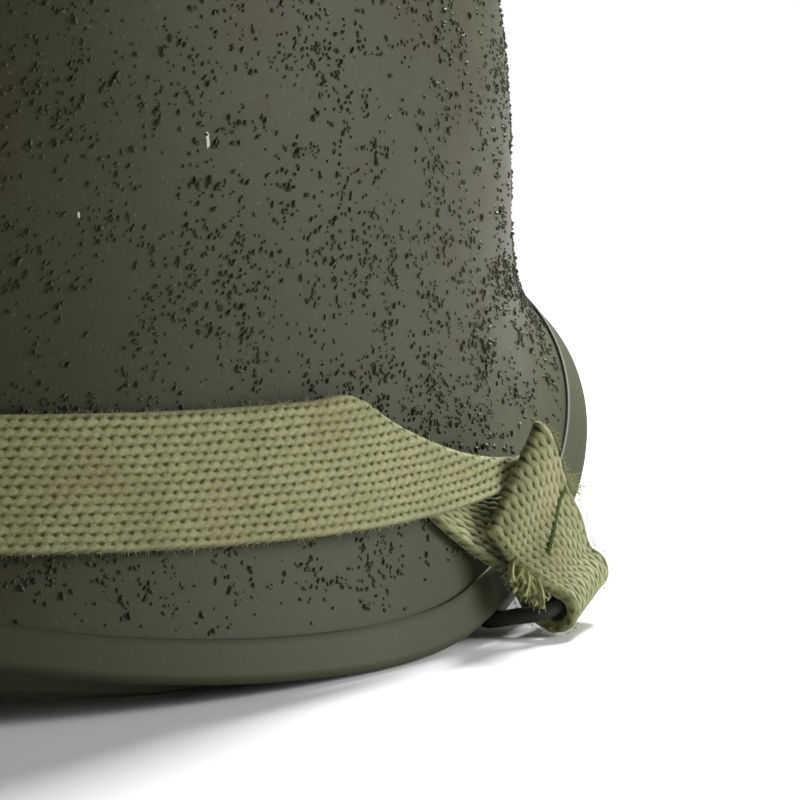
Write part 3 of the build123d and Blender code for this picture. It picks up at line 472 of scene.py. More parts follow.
def web_cloth(name, gap, mid, top, warm, cool):
    """Webbing: the yarns' height colours it, with painted shade in the gaps and painted highlight
    on the crests, and slanted fibres with pale painted highlight streaks run over it.
    """
    n = Nodes(name, 0.9, 0.15)
    n.shader.inputs["Sheen Weight"].default_value = 0.12
    n.shader.inputs["Sheen Roughness"].default_value = 0.5
    run, cross = n.attribute("run"), n.attribute("cross")
    lean = n.math("ADD", run, n.math("MULTIPLY", cross, FIBRE_SLANT))
    over = n.math("SUBTRACT", cross, n.math("MULTIPLY", run, FIBRE_SLANT))
    streaks = n.add("CombineXYZ", X=n.math("MULTIPLY", lean, 1.1),
                    Y=n.math("MULTIPLY", over, 7.0)).outputs["Vector"]
    fibre = n.noise(1.0, 3, 0.6, streaks)
    spread = n.math("MULTIPLY", n.math("SUBTRACT", fibre, 0.5), 2.0)
    soft = n.math("ADD", n.attribute("weave"), spread)
    # painted shade darkens the low gaps between the yarns, and painted highlight lightens their
    # crests
    colour = n.ramp(soft, (0.12, gap), (0.5, mid), (1.0, top))
    colour = n.mix(n.patches(0.4, 0.48, 0.75, 110, 3), colour, warm)
    colour = n.mix(n.patches(0.4, 0.52, 0.75, 75, 2), colour, cool)
    # pale streaks along the slanted fibres are painted highlight, a glint on the fuzz
    colour = n.mix(n.patches(0.5, 0.66, 0.78, 1.6, 4, 0.7, streaks), colour, paler(top, 1.5))
    normal = n.bump(fibre, 0.22, 0.8, n.bump(n.noise(3600, 2, 0.7), 0.1, 0.5))
    return n.finish(colour, normal)


def leather():
    n = Nodes("leather", 0.5)
    cells = n.add("TexVoronoi", Vector=n.place, Scale=900.0)
    colour = n.mix(n.grey(n.noise(60, 4), 0.3, 0.7), (0.12, 0.055, 0.025), (0.25, 0.13, 0.06))
    return n.finish(colour, n.bump(cells.outputs["Distance"], 0.12, 0.5))


def moulded_liner():
    """Olive cloth laminate with its faint weave under the paint."""
    n = Nodes("moulded_liner", 0.5)
    colour = n.mix(n.grey(n.noise(25, 3), 0.3, 0.7), (0.075, 0.075, 0.04), (0.12, 0.12, 0.066))
    return n.finish(colour, n.bump(n.noise(700, 2), 0.1, 0.5))


# Webbing's colours: painted shade in the gaps, the middle, painted highlight on the crests, and the
# tints of its warm and cool patches
KHAKI = ((0.036, 0.038, 0.01), (0.175, 0.176, 0.072), (0.33, 0.33, 0.17),
         (0.19, 0.155, 0.066), (0.13, 0.16, 0.062))
OLIVE = ((0.04, 0.038, 0.014), (0.17, 0.155, 0.075), (0.28, 0.26, 0.14),
         (0.2, 0.16, 0.08), (0.15, 0.15, 0.07))
MATERIALS = {
    "grit": grit_paint(),
    # the grains get a paler copy of the bowl's paint, a painted highlight standing in for their lit
    # sides
    "grain": plain_paint("grain_paint_paler_highlight", (0.068, 0.067, 0.038), (0.046, 0.045, 0.025),
                         300.0, 0.1, 0.5),
    "strip": plain_paint("strip_paint", (0.058, 0.058, 0.033), (0.045, 0.045, 0.025)),
    "wire": plain_paint("dark_wire", (0.045, 0.045, 0.036), (0.03, 0.03, 0.024), 200.0, 0.3, 0.45),
    "web": web_cloth("khaki_webbing", *KHAKI),
    "sling": web_cloth("sling_webbing", *OLIVE),
    "brass": metal("black_brass", (0.2, 0.15, 0.07), (0.05, 0.045, 0.03)),
    "thread": plain_paint("green_thread", (0.075, 0.1, 0.035), (0.045, 0.065, 0.02),
                          400.0, 0.1, 0.9),
    "liner": moulded_liner(),
    "leather": leather(),
    "rivet": plain_paint("rivet_paint", (0.07, 0.07, 0.05), (0.05, 0.05, 0.035)),
    "fibre": plain_paint("web_fibre", (0.4, 0.4, 0.2), (0.28, 0.28, 0.12), 500.0, 0.1, 0.95),
}


# Steel bowl with its grit

def cell_random(cells, salt):
    """Repeatable random numbers from 0 to 1 for whole-numbered cells."""
    x, y, z = (cells[..., i].astype(np.int64) for i in range(3))
    h = (x * 73856093) ^ (y * 19349663) ^ (z * 83492791) ^ (salt * 2654435761)
    h = (h ^ (h >> 13)) * 1274126177
    return ((h ^ (h >> 16)) & 0xFFFFFF) / float(0xFFFFFF)


def soft_noise(points, size, salt):
    """Smooth noise from 0 to 1 with features of a size."""
    scaled = points / size
    base = np.floor(scaled)
    t = scaled - base
    t = t * t * (3 - 2 * t)
    total = 0
    for corner in np.ndindex(2, 2, 2):
        weight = np.prod(np.where(np.array(corner), t, 1 - t), axis=-1)
        total = total + weight * cell_random(base + np.array(corner), salt)
    return total


SKIN_TOP = 1.985
DENT, DENT_SIZE, DENT_START = 0.1, 14, 9
GRIT_START = STRIP_LEG + 1.0
GRAIN_TRIES, GRAIN_DENSITY, GRAIN_LOW = 480000, 0.68, 0.02
GRAIN_LEAST, GRAIN_SPREAD, GRAIN_SUNK, GRAIN_NARROW = 0.15, 0.4, 0.12, 0.85
ANGLE_STEP, LEVEL_STEP = 0.1, 0.001
GOLDEN = (1 + sqrt(5)) / 2


def steel_bowl():
    """The bowl's painted sheet, slightly uneven away from its rim."""
    angles = np.arange(0, 360, 1.0)
    brim = np.linspace(0, 1, 40, endpoint=False)
    levels = np.concatenate([brim, np.linspace(1, SKIN_TOP, 90)])
    a, l = np.meshgrid(angles, levels)
    skin, normal = on_bowl(POT, a, l), outward(POT, a, l)
    flat = skin.reshape(-1, 3)
    from_rim = length(skin - on_bowl(POT, angles, 0)).ravel()
    clear = np.clip((from_rim - GRIT_START) / DENT_START, 0, 1)
    dent = (soft_noise(flat, DENT_SIZE, 8) - 0.5) * DENT * clear
    outer = flat + normal.reshape(-1, 3) * dent[:, None]
    inner_levels = np.append(levels[:0:-3], 0)
    b, m = np.meshgrid(angles, inner_levels)
    inner = inset(POT, b, m, np.full(b.shape, STEEL)).reshape(-1, 3)
    columns, rows, inner_rows = len(angles), len(levels), len(inner_levels)
    verts = np.concatenate([outer, [outer[-columns:].mean(0)], inner, [inner[:columns].mean(0)]])
    faces = grid_faces(rows, columns)
    start = rows * columns + 1
    faces += [[start + i for i in face] for face in grid_faces(inner_rows, columns)]
    top, under = rows * columns, start + inner_rows * columns
    last, high = under - columns, top - columns
    for c in range(columns):
        d = (c + 1) % columns
        faces += [[high + c, high + d, top], [start + d, start + c, under],
                  [last + c, last + d, d, c]]
    obj = mesh_of("steel_bowl_painted", verts, faces)
    finish_object(obj, "steel_pot", "grit", ["steel_shell"])


def grain_form():
    """Corners and faces of an icosahedron, the rough form of one cork grain."""
    corners = []
    for a in (-1, 1):
        for b in (-GOLDEN, GOLDEN):
            corners += [(0, a, b), (a, b, 0), (b, 0, a)]
    corners = unit(np.array(corners, float))
    near = np.sort(length(corners[0] - corners))[1] * 1.1
    faces = []
    for i, j, k in ((i, j, k) for i in range(12) for j in range(i) for k in range(j)):
        a, b, c = corners[i], corners[j], corners[k]
        if max(length(a - b), length(b - c), length(c - a)) < near:
            outside = np.dot(np.cross(b - a, c - a), a) > 0
            faces.append((i, j, k) if outside else (i, k, j))
    return corners, np.array(faces)


def grit_grains():
    """Cork grains scattered in clusters over the bowl, fewer near the rim."""
    chance = np.random.default_rng(7)
    angle = chance.uniform(0, 360, GRAIN_TRIES)
    level = chance.uniform(GRAIN_LOW, SKIN_TOP, GRAIN_TRIES)
    place = on_bowl(POT, angle, level)
    da = on_bowl(POT, angle + ANGLE_STEP, level) - place
    dl = on_bowl(POT, angle, level + LEVEL_STEP) - place
    patches = 360 / ANGLE_STEP * (SKIN_TOP - GRAIN_LOW) / LEVEL_STEP
    area = length(np.cross(da, dl)) * patches / GRAIN_TRIES
    patch = soft_noise(place, 8.0, 3) * 0.55 + soft_noise(place, 3.2, 4) * 0.45
    spread = soft_noise(place, 30.0, 5)
    crowd = np.clip((patch - 0.34) * 3.2, 0.05, 1.6) * np.clip(0.45 + spread, 0.5, 1.3)
    from_rim = length(place - on_bowl(POT, angle, 0))
    clear = np.clip((from_rim - GRIT_START) / 4, 0.1, 1)
    keep = chance.uniform(0, 1, GRAIN_TRIES) < area * GRAIN_DENSITY * crowd * clear
    place, angle, level = place[keep], angle[keep], level[keep]
    count = len(place)
    normal = outward(POT, angle, level)
    size = GRAIN_LEAST + GRAIN_SPREAD * chance.beta(1.3, 3.4, count)
    along = unit(np.cross(normal, UPWARD))
    up = np.cross(normal, along)
    turn = chance.uniform(0, pi, count)
    c, s = np.cos(turn)[:, None], np.sin(turn)[:, None]
    long_way, short_way = along * c + up * s, up * c - along * s
    stretch = chance.uniform(1.0, 1.9, count)
    rise = chance.uniform(0.75, 1.35, count)
    corners, faces = grain_form()
    rough = corners[None] * chance.uniform(0.72, 1.18, (count, len(corners), 1))
    verts = (place[:, None] + normal[:, None] * (size * GRAIN_SUNK)[:, None, None]
             + long_way[:, None] * (rough[..., :1] * (size * stretch)[:, None, None])
             + short_way[:, None] * (rough[..., 1:2] * (size * GRAIN_NARROW)[:, None, None])
             + normal[:, None] * (rough[..., 2:] * (size * rise)[:, None, None]))
    starts = (np.arange(count) * len(corners))[:, None, None]
    all_faces = (faces[None] + starts).reshape(-1, 3)
    obj = mesh_of("cork_grains", verts.reshape(-1, 3), all_faces.tolist())
    obj.data.polygons.foreach_set("use_smooth", [False] * len(obj.data.polygons))
    finish_object(obj, "steel_pot", "grain")


LIP = 0.18


def rim_channel():
    """Rounded channel crimped over the rim, open at its butt joint behind the nape."""
    gap, sheet = STRIP_CRIMP, STRIP_SHEET
    nose, bore = STEEL / 2 + gap + sheet, STEEL / 2 + gap
    legs = np.linspace(STRIP_LEG, 0, 5)
    turns = np.radians(np.linspace(-75, 75, 11))
    section = [(STRIP_LEG, gap), (STRIP_LEG, gap + sheet - LIP), (STRIP_LEG - LIP, gap + sheet)]
    section += [(along, gap + sheet) for along in legs[1:]]
    section += [(-nose * cos(t), -STEEL / 2 - nose * sin(t)) for t in turns]
    section += [(along, -STEEL - gap - sheet) for along in legs[::-1]]
    section += [(along, -STEEL - gap) for along in legs]
    section += [(-bore * cos(t), -STEEL / 2 + bore * sin(t)) for t in turns]
    section += [(along, gap) for along in legs[::-1][:-1]]
    joint = degrees(STRIP_JOINT / 2 / RIM_REAR)
    angles = np.linspace(joint, 360 - joint, 361)
    foot, normal = on_bowl(POT, angles, 0), outward(POT, angles, 0)
    up = unit(on_bowl(POT, angles, PROBE) - foot)
    rings = []
    for along, across in section:
        if along > 0:
            level = level_beyond(POT, angles, 0, along)
            rings.append(inset(POT, angles, level, np.full(angles.shape, -across)))
        else:
            rings.append(foot + up * along + normal * across)
    verts = np.stack(rings, axis=1).reshape(-1, 3)
    count = len(section)
    faces = [face[::-1] for face in grid_faces(len(angles), count)]
    faces.append(list(range(count)))
    faces.append([len(verts) - 1 - i for i in range(count)])
    obj = mesh_of("rim_channel", verts, faces)
    finish_object(obj, "steel_pot", "strip", ["rim_strip"])


# Webbing

# Width of a row of stitches, length of a stitch, and how far a row's edge swings in row widths
ROW, STITCH, ZIGZAG = 1.3, 1.95, 0.17


def weave(u, v):
    """Height from 0 to 1 of the webbing's face at u along it and v across it.

    The rows are laid like bricks, wander a little and have a dark slit between two stitches.
    Each stitch is widest where its neighbours meet."""
    t = v / ROW + 0.06 * np.sin(u * 0.4 + v)
    turn = u / STITCH + 0.07 * np.sin(v * 2.1 + u * 0.3)
    swell = ZIGZAG * np.cos(2 * pi * turn)

    def lean(row):
        return swell * (1 - 2 * np.mod(row, 2))

    row = np.floor(t)
    row = np.where(t > row + 1 + lean(row), row + 1, row)
    row = np.where(t < row - lean(row), row - 1, row)
    low, high = row - lean(row), row + 1 + lean(row)
    side = (t - low) / (high - low) * 2 - 1
    phase = turn + 0.5 * np.mod(row, 2)
    cell = np.floor(phase + 0.5)
    along = phase - cell
    key = np.stack([cell, row, row * 0], axis=-1)
    crest = (1 - np.abs(side) ** 2.4) * (1 - 0.5 * np.abs(2 * along) ** 4)
    crest = 0.4 + 0.6 * np.clip(crest, 0, 1) ** 0.7 * (0.7 + 0.3 * cell_random(key, 9))
    slit = np.exp(-((side + 0.8 - 1.1 * along) / 0.4) ** 2 - ((along + 0.04) / 0.31) ** 2)
    return np.clip(crest - slit * (0.55 + 0.4 * cell_random(key, 12)), 0, 1)


Cloth = namedtuple("Cloth", "obj face normal")
# Rise of the thicker cord beside each selvage, its place and half its width
EDGE_CORD, EDGE_PLACE, EDGE_SPREAD = 0.12, 0.9, 0.6


def cloth(name, rows, thickness, pitch=0.45, across=44, relief=0.26, closed=False):
    """Webbing over rows of points, each of which crosses it from one selvage to the other.

    The yarns stand out of both faces, and the selvages are round."""
    rows = np.asarray(rows, float)
    if closed:
        rows = np.concatenate([rows[-3:], rows, rows[:4]])
    middle = rows.mean(1)
    places = np.append(0, np.cumsum(length(np.diff(middle, axis=0))))
    low, high = (places[3], places[-4]) if closed else (places[0], places[-1])
    steps = max(int((high - low) / pitch), 8)
    wanted = np.linspace(low, high, steps + 1)
    along = smooth(rows, places, wanted)
    shares = np.linspace(0, 1, across + 1)
    knots = np.linspace(0, 1, rows.shape[1])
    if rows.shape[1] > 2:
        face = smooth(along.transpose(1, 0, 2), knots, shares).transpose(1, 0, 2)
    else:
        face = along[:, :1] + (along[:, 1:] - along[:, :1]) * shares[None, :, None]
    normal = unit(np.cross(np.gradient(face, axis=0), np.gradient(face, axis=1)))
    v = np.pad(np.cumsum(length(np.diff(face, axis=1)), axis=1), ((0, 0), (1, 0)))
    u = np.broadcast_to((wanted - low)[:, None], v.shape)
    half = thickness / 2
    from_edge = np.minimum(v, v[:, -1:] - v)
    edge = np.clip(from_edge / half, 0, 1)
    round_off = np.sqrt(np.clip(1 - (1 - edge) ** 2, 0, 1))
    cord = EDGE_CORD * np.exp(-((from_edge - EDGE_PLACE) / EDGE_SPREAD) ** 2)
    high_face, high_back = weave(u, v), weave(u + 1.1, v + 0.6)
    kept = len(face) - 1 if closed else len(face)

    def skin(height, side):
        rise = half * round_off - relief * (1 - height) * round_off + cord
        return face + normal * (rise * side)[..., None]

    def loop(on_front, on_back):
        return np.concatenate([on_front, on_back[:, ::-1][:, 1:-1]], axis=1)[:kept]

    front = skin(high_face, 1)
    ring = loop(front, skin(high_back, -1))
    count = ring.shape[1]
    if closed:
        faces = hoop_faces(kept, count)
    else:
        faces = grid_faces(kept, count)
        faces.append(list(range(count))[::-1])
        faces.append([(kept - 1) * count + i for i in range(count)])
    obj = mesh_of(name, ring.reshape(-1, 3), faces)
    for key, values in (("weave", loop(high_face, high_back)), ("run", loop(u, u)),
                        ("cross", loop(v, v))):
        set_attribute(obj, key, values.ravel())
    return Cloth(obj, front, normal)


RUN = unit(np.array(LOOP_RUN_SHARES))
OUT = unit(np.array(LOOP_OUT_SHARES) - RUN * np.dot(LOOP_OUT_SHARES, RUN))
UP = np.cross(OUT, RUN)
MIRROR = np.array((-1, 1, 1))


def from_bar(shares):
    """Place near the loop's bar, given in webbing widths along out, run and up."""
    return LOOP_BAR + (OUT * shares[0] + RUN * shares[1] + UP * shares[2]) * WEB_WIDTH


def along_bar(shares):
    return unit(OUT * shares[0] + RUN * shares[1] + UP * shares[2])


def strap_base(angle):
    """Foot of the strap on the bowl, with the ways across it and off the steel."""
    height = swing(angle, STRAP_HEIGHT_REAR, STRAP_HEIGHT_SIDE, STRAP_HEIGHT_SIDE)
    level = level_at(POT, angle, height)
    foot = on_bowl(POT, angle, level)
    top = on_bowl(POT, angle, level_beyond(POT, angle, level, WEB_WIDTH))
    across = unit(top - foot)
    return foot, across, unit(np.cross(round_bowl(POT, angle, level), across))


DEGREE = length(strap_base(np.array(1.0))[0] - strap_base(np.array(-1.0))[0]) / 2
UNDER_HEIGHT = WEB_GAP + WEB / 2
TURN_X, TIP_X = STRAP_TURN_ANGLE * DEGREE, STRAP_TIP_ANGLE * DEGREE
RETURN_GAP = CLIP_SHEET + CLIP_PLAY * 2
HOOK_BAR_X = BUCKLE_X - BUCKLE_LENGTH - HOOK_LENGTH


def on_strap(x, height, share):
    foot, across, out = strap_base(np.array(x / DEGREE))
    return foot + out * height + across * WEB_WIDTH * share


def crease(share):
    """Height of the strap's fold in webbing widths, at a share of its way to the tip."""
    return 1 - (1 - STRAP_TIP_SHARE) * share * (1 + CREASE_HOLLOW_SHARE * (1 - share))


def strap_rows(bar_x, bar_radius, return_length, return_gap):
    """Rows of the strap from its free end round the bar and along the bowl to its fold."""
    turn = bar_radius + WRAP_PLAY + WEB / 2
    bar_height = UNDER_HEIGHT + turn
    over = UNDER_HEIGHT + WEB + return_gap
    landing = bar_x + turn * 3
    path = []
    steps = ceil((return_length - turn * 3) / WEB_WIDTH * 4)
    for i in range(steps + 1):
        path.append((landing + (bar_x + return_length - landing) * (1 - i / steps), over))
    for i in range(WRAP_STEPS + 1):
        place = radians(90 + 180 * i / WRAP_STEPS)
        path.append((bar_x + turn * cos(place), bar_height + turn * sin(place)))
    steps = ceil((TURN_X - bar_x) / WEB_WIDTH * 2)
    for i in range(1, steps + 1):
        x = bar_x + (TURN_X - bar_x) * i / steps
        climb = max(1 - (TURN_X - x) / LIFT_RUN, 0)
        path.append((x, UNDER_HEIGHT + (WEB + FLAP_PLAY) * climb))
    rows = [[on_strap(x, height, share) for share in (0, 0.5, 1)] for x, height in path]
    low = WEB_GAP + WEB * 1.5 + FLAP_PLAY
    for share in FLAP_SHARES:
        x = TURN_X + (TIP_X - TURN_X) * share
        top = crease(share)
        foot = TIP_RISE_SHARE * share ** 4
        lift = low + TIP_LIFT * share
        rows.append([on_strap(x, lift, foot + (top - foot) * s) for s in (0, 0.5, 1)])
    return np.array(rows)


def off_steel(point, extra):
    """The point, moved out where it would be nearer to the steel and its strip than allowed."""
    angle = degrees(atan2(-point[0], point[1] - WALL_MIDDLE))
    level = level_at(POT, angle, point[2])
    out = outward(POT, np.array(angle), level)
    gap = np.dot(point - on_bowl(POT, angle, level), out)
    over_rim = point[2] - steel_rim_height(angle)
    near_rim = min(max(1 - over_rim / STRIP_LEG / 3, 0), 1)
    least = WEB_GAP + (STRIP_CRIMP + STRIP_SHEET) * near_rim + extra
    return point + out * max(least - gap, 0)


def under_rows():
    """Rows of the layer that the strap's fold turns down to the sewn end."""
    shares = [i / UNDER_STEPS for i in range(UNDER_STEPS + 1)]
    fold = [on_strap(TURN_X + (TIP_X - TURN_X) * share, UNDER_HEIGHT, crease(share))
            for share in shares]
    ends = [(from_bar(low), from_bar(high)) for low, high in UNDER_SHARES]
    rows = [[a + (b - a) * share for share in shares] for a, b in ends]
    laid = []
    for i in range(1, UNDER_ROWS):
        share = i / UNDER_ROWS
        laid.append([a + (b - a) * share for a, b in zip(fold, rows[0])])
    return np.array([fold] + [[off_steel(p, WEB / 2) for p in row] for row in laid + rows])


def end_rows():
    """Rows of the sewn end: round the loop's bar, up its face and under at the hem."""
    centre = LOOP_BAR - UPWARD * BAR_SAG
    turn = WIRE / 2 + BAR_SLACK + WEB / 2
    places = [(from_bar(place), along_bar(width)) for place, width in END_SHARES]
    for angle in BAR_TURNS:
        out, up = cos(radians(angle)) * turn, sin(radians(angle)) * turn
        places.append((centre + OUT * out + UP * up, RUN))
    for place, width in FACE_SHARES + (HEM_TURN_SHARES,) + HEM_SHARES:
        places.append((from_bar(place), along_bar(width)))
    half = WEB_WIDTH / 2
    return np.array([[middle - width * half, middle + width * half] for middle, width in places])


def chin_strap():
    long_rows = strap_rows(BUCKLE_X, BUCKLE_BAR / 2, STRAP_RETURN, RETURN_GAP)
    short_rows = strap_rows(-HOOK_BAR_X, HOOK_BAR / 2, HOOK_RETURN, FIT)
    turned, end = under_rows(), end_rows()
    made = {}
    for side, mirror, strap in (("right", 1, long_rows), ("left", MIRROR, short_rows)):
        fine = dict(pitch=0.24, across=84) if side == "right" else {}
        flip = 1 if side == "right" else -1
        made[side] = []
        for name, body, node, rows in (
                ("chin_strap_", "steel_pot", "chinstrap_", strap),
                ("strap_under_layer_", "steel_pot", "strap_turn_", turned),
                ("sewn_end_", "loop_" + side, "strap_end_", end)):
            piece = cloth(name + side, (rows * mirror)[:, ::flip], WEB, **fine)
            finish_object(piece.obj, body, "web", [node + side])
            made[side].append(piece)
    return made


FLOOR_CLEAR, FACE_DIP, SELVAGE_SHARE = 0.3, 0.2, 0.62
FIBRE_RADIUS, YARN_RADIUS, YARN_END_RADIUS, TACK_RADIUS = 0.026, 0.26, 0.05, 0.15
# Stations of the bar tack on the sewn end, in shares of its run and of its width
TACK = ((0.6, 0.97), (0.592, 0.8), (0.562, 0.58), (0.535, 0.29))
TACK_STEPS, TACK_WIDTH = 54, 0.5
FRAY_RUN, FRAY_YARNS, TUFT_RUN, TUFT_HAIRS = (0.5, 0.66), 34, 0.6, 40
BEND_SHARES = (0, 0.35, 0.7, 1)


def skin_of(made):
    """The webbing's outer face and its normals, pointing away from the helmet."""
    out = made.normal
    if np.mean(np.sum(out * (made.face - (0, WALL_MIDDLE, 0)) * FLAT, axis=-1)) > 0:
        return made.face, out
    return made.face - out * (WEB - FACE_DIP), -out


def stray_fibres(name, body, made, count, seed):
    """Fine fibres that stand off webbing, most of them along its selvages."""
    chance = np.random.default_rng(seed)
    skin, out = skin_of(made)
    rows, across = skin.shape[:2]
    paths = []
    for _ in range(count):
        i, edge = chance.integers(1, rows - 1), chance.random() < SELVAGE_SHARE
        j = chance.choice((0, across - 1)) if edge else chance.integers(2, across - 2)
        low_half = j < across / 2
        beyond = unit(skin[i, 0] - skin[i, 4] if low_half else skin[i, -1] - skin[i, -5])
        along = unit(skin[i + 1, j] - skin[i - 1, j])
        lean = out[i, j] * chance.uniform(0.2, 0.7) + along * chance.normal(0, 0.8)
        lean = lean + beyond * (chance.uniform(0.4, 1.3) if edge else chance.normal(0, 0.5))
        reach = 0.2 + 0.9 * chance.beta(1.2, 3.5)
        bend = chance.normal(0, 0.35, 3) * reach
        inside = beyond * 0.25 if edge else 0
        start = skin[i, j] - inside - out[i, j] * 0.25
        path = [start + unit(lean) * reach * t + bend * t * t for t in BEND_SHARES]
        if min(point[2] for point in path) > FLOOR_CLEAR:
            paths.append(path)
    finish_object(tube(name, paths, FIBRE_RADIUS, 1), body, "fibre")


def on_skin(skin, out, run_share, width_share, lift):
    i, j = round(run_share * (len(skin) - 1)), round(width_share * (skin.shape[1] - 1))
    return skin[i, j] + out[i, j] * lift


def tab_sewing(side, made):
    """Green bar tack over the sewn end, and the yarns that its cut end has let go."""
    chance = np.random.default_rng(31)
    skin, out = skin_of(made)
    stations = [on_skin(skin, out, *place, 0.12) for place in TACK]
    line = smooth(np.array(stations), np.linspace(0, 1, len(TACK)),
                  np.linspace(0, 1, TACK_STEPS + 2))
    paths = []
    for k in range(TACK_STEPS):
        wide = unit(np.cross(line[k + 1] - line[k], OUT)) * TACK_WIDTH * (1 if k % 2 else -1)
        sunk = OUT * TACK_RADIUS
        paths.append([line[k] - wide - sunk, line[k] + sunk / 3, line[k + 1] + wide - sunk])
    tack = tube("bar_tack_" + side, paths, TACK_RADIUS, 2)
    finish_object(tack, "loop_" + side, "thread")
    yarns, hairs = [], []
    for _ in range(FRAY_YARNS):
        root = on_skin(skin, out, chance.uniform(*FRAY_RUN), chance.uniform(0.0, 0.05), -0.7)
        reach = chance.uniform(1.6, 4.4)
        fall = unit(OUT * chance.uniform(0.0, 0.5) - UPWARD - RUN * chance.uniform(-0.1, 0.9))
        curl, other = chance.normal(0, 0.4, 3), chance.normal(0, 0.3, 3)
        path = [root + fall * reach * t + curl * sin(3 * t) + other * t * t
                for t in np.linspace(0, 1, 6)]
        yarns.append(path)
        for _ in range(5):
            spread = chance.normal(0, 0.5, 3)
            hairs.append([path[3] + spread * 0.2, path[4] + spread * 0.7, path[5] + spread])
    frayed = tube("frayed_yarns_" + side, yarns, YARN_RADIUS, 2)
    finish_object(frayed, "loop_" + side, "fibre")
    for _ in range(TUFT_HAIRS):
        root = on_skin(skin, out, chance.normal(TUFT_RUN, 0.02), 1.0, -0.5)
        lean = unit(OUT * 1.2 + chance.normal(0, 0.45, 3))
        reach = chance.uniform(0.6, 2.1)
        bend = chance.normal(0, 0.4, 3)
        hairs.append([root + lean * reach * t + bend * t * t for t in BEND_SHARES])
    ends = tube("yarn_ends_" + side, hairs, YARN_END_RADIUS, 1)
    finish_object(ends, "loop_" + side, "fibre")


def loose_threads(made):
    """Fibres on all the webbing of the strap, most on the near side, and its sewing."""
    for side, counts in (("right", (6500, 900, 1700)), ("left", (900, 200, 300))):
        parts = (("strap", "steel_pot"), ("layer", "steel_pot"), ("tab", "loop_" + side))
        for i, (part, body) in enumerate(parts):
            stray_fibres(f"{part}_fibres_{side}", body, made[side][i], counts[i], 11 + i)
    tab_sewing("right", made["right"][2])


# Suspension

def liner_frame(angle, height, depth):
    """Place under the liner's skin, with the ways along it, up it and out of it."""
    level = level_at(LINER, angle, height)
    out = outward(LINER, np.asarray(angle, float), level)
    up = unit(UPWARD - out * out[..., 2:])
    origin = inset(LINER, np.asarray(angle, float), level, depth)
    return origin, np.cross(up, out), up, out


BAND_DEPTH = LINER_WALL + WALL_PLAY
STRAP_DEPTH = BAND_DEPTH + BAND_WEB + WALL_PLAY
CROWN_MIDDLE = np.array((0, WALL_MIDDLE, CROWN_HEIGHT - LINER_DEPTH - CROWN_RING_DROP))
LACE_TURN = LACE / 2 + LAP + BAND_WEB / 2


def rivet_height(angle):
    return swing(angle, *RIVET_HEIGHTS)


def across_band(angle, height, pull, width):
    """Row across webbing that lies under the liner's skin and is pulled off it by a length."""
    origin, _, up, _ = liner_frame(angle, height, BAND_DEPTH + BAND_WEB / 2 + pull)
    return [origin - up * width / 2, origin + up * width / 2]


def band_row(angle):
    wave = sin(radians((angle - RIVET_ANGLES[0]) * 3)) ** 4
    return across_band(angle, rivet_height(angle), BAND_PULL * wave, BAND_WIDTH)


def nape_row(angle):
    wave = cos(radians(angle / NAPE_ANGLE * 90)) ** 2
    return across_band(angle, NAPE_HEIGHT, NAPE_PULL * wave, NAPE_STRAP_WIDTH)


def headband_place(angle, depth):
    """Place on the headband's upper edge at a depth into it, with the way out of the head."""
    origin, _, _, out = liner_frame(angle, rivet_height(angle), LINER_WALL + HEADBAND_INSET)
    flat = unit(out * FLAT)
    return origin + UPWARD * BAND_WIDTH / 2 - flat * depth, flat


def headband_row(angle):
    top, _ = headband_place(angle, BAND_WEB / 2)
    return [top - UPWARD * HEADBAND_WIDTH, top]


def sling():
    """Suspension band, crown straps, lace, headband and nape strap inside the liner."""
    ring, reach = np.arange(0, 360, 5.0), NAPE_ANGLE + NAPE_LAP
    pieces = [("sling_band", "suspension_band", map(band_row, ring)),
              ("headband_web", "headband_webbing", map(headband_row, ring)),
              ("nape_web", "nape_strap", map(nape_row, np.linspace(-reach, reach, 25)))]
    pieces += [(f"crown_strap_{i}", "crown_straps" if i == 0 else None, crown_rows(angle))
               for i, angle in enumerate(RIVET_ANGLES)]
    for i, (name, node, rows) in enumerate(pieces):
        piece = cloth(name, list(rows), BAND_WEB, 0.9, 22, 0.18, closed=i < 2)
        finish_object(piece.obj, "liner", "sling", [node] if node else [])
    headband_leather()
    crown_lace()


def crown_rows(angle):
    """Rows of a strap from its rivet up to the crown and once round the lace."""
    origin, side, up, _ = liner_frame(angle, rivet_height(angle), STRAP_DEPTH + BAND_WEB / 2)
    turn = radians(angle)
    inward = np.array((sin(turn), -cos(turn), 0))
    across = np.array((-cos(turn), -sin(turn), 0))
    tip = CROWN_MIDDLE - inward * CROWN_RING_RADIUS
    start, leave = origin - up * WASHER_HEIGHT * 0.45, origin + up * WASHER_HEIGHT * 0.65
    pull = length(tip - leave) / 3
    above, before = leave + up * pull, tip - inward * pull
    places = [(start, side), (origin, side)]
    for i in range(CROWN_STEPS + 1):
        s = 1 - i / CROWN_STEPS
        places.append((bezier(leave, above, before, tip, s), unit(side * s + across * (1 - s))))
    for i in range(1, WRAP_STEPS + 1):
        place = pi * i / WRAP_STEPS
        step = inward * sin(place) - UPWARD * (1 - cos(place))
        places.append((tip + step * LACE_TURN, across))
    places.append((places[-1][0] - inward * HEM_LENGTH, across))
    half = CROWN_STRAP_WIDTH / 2
    return np.array([[point - width * half, point + width * half] for point, width in places])


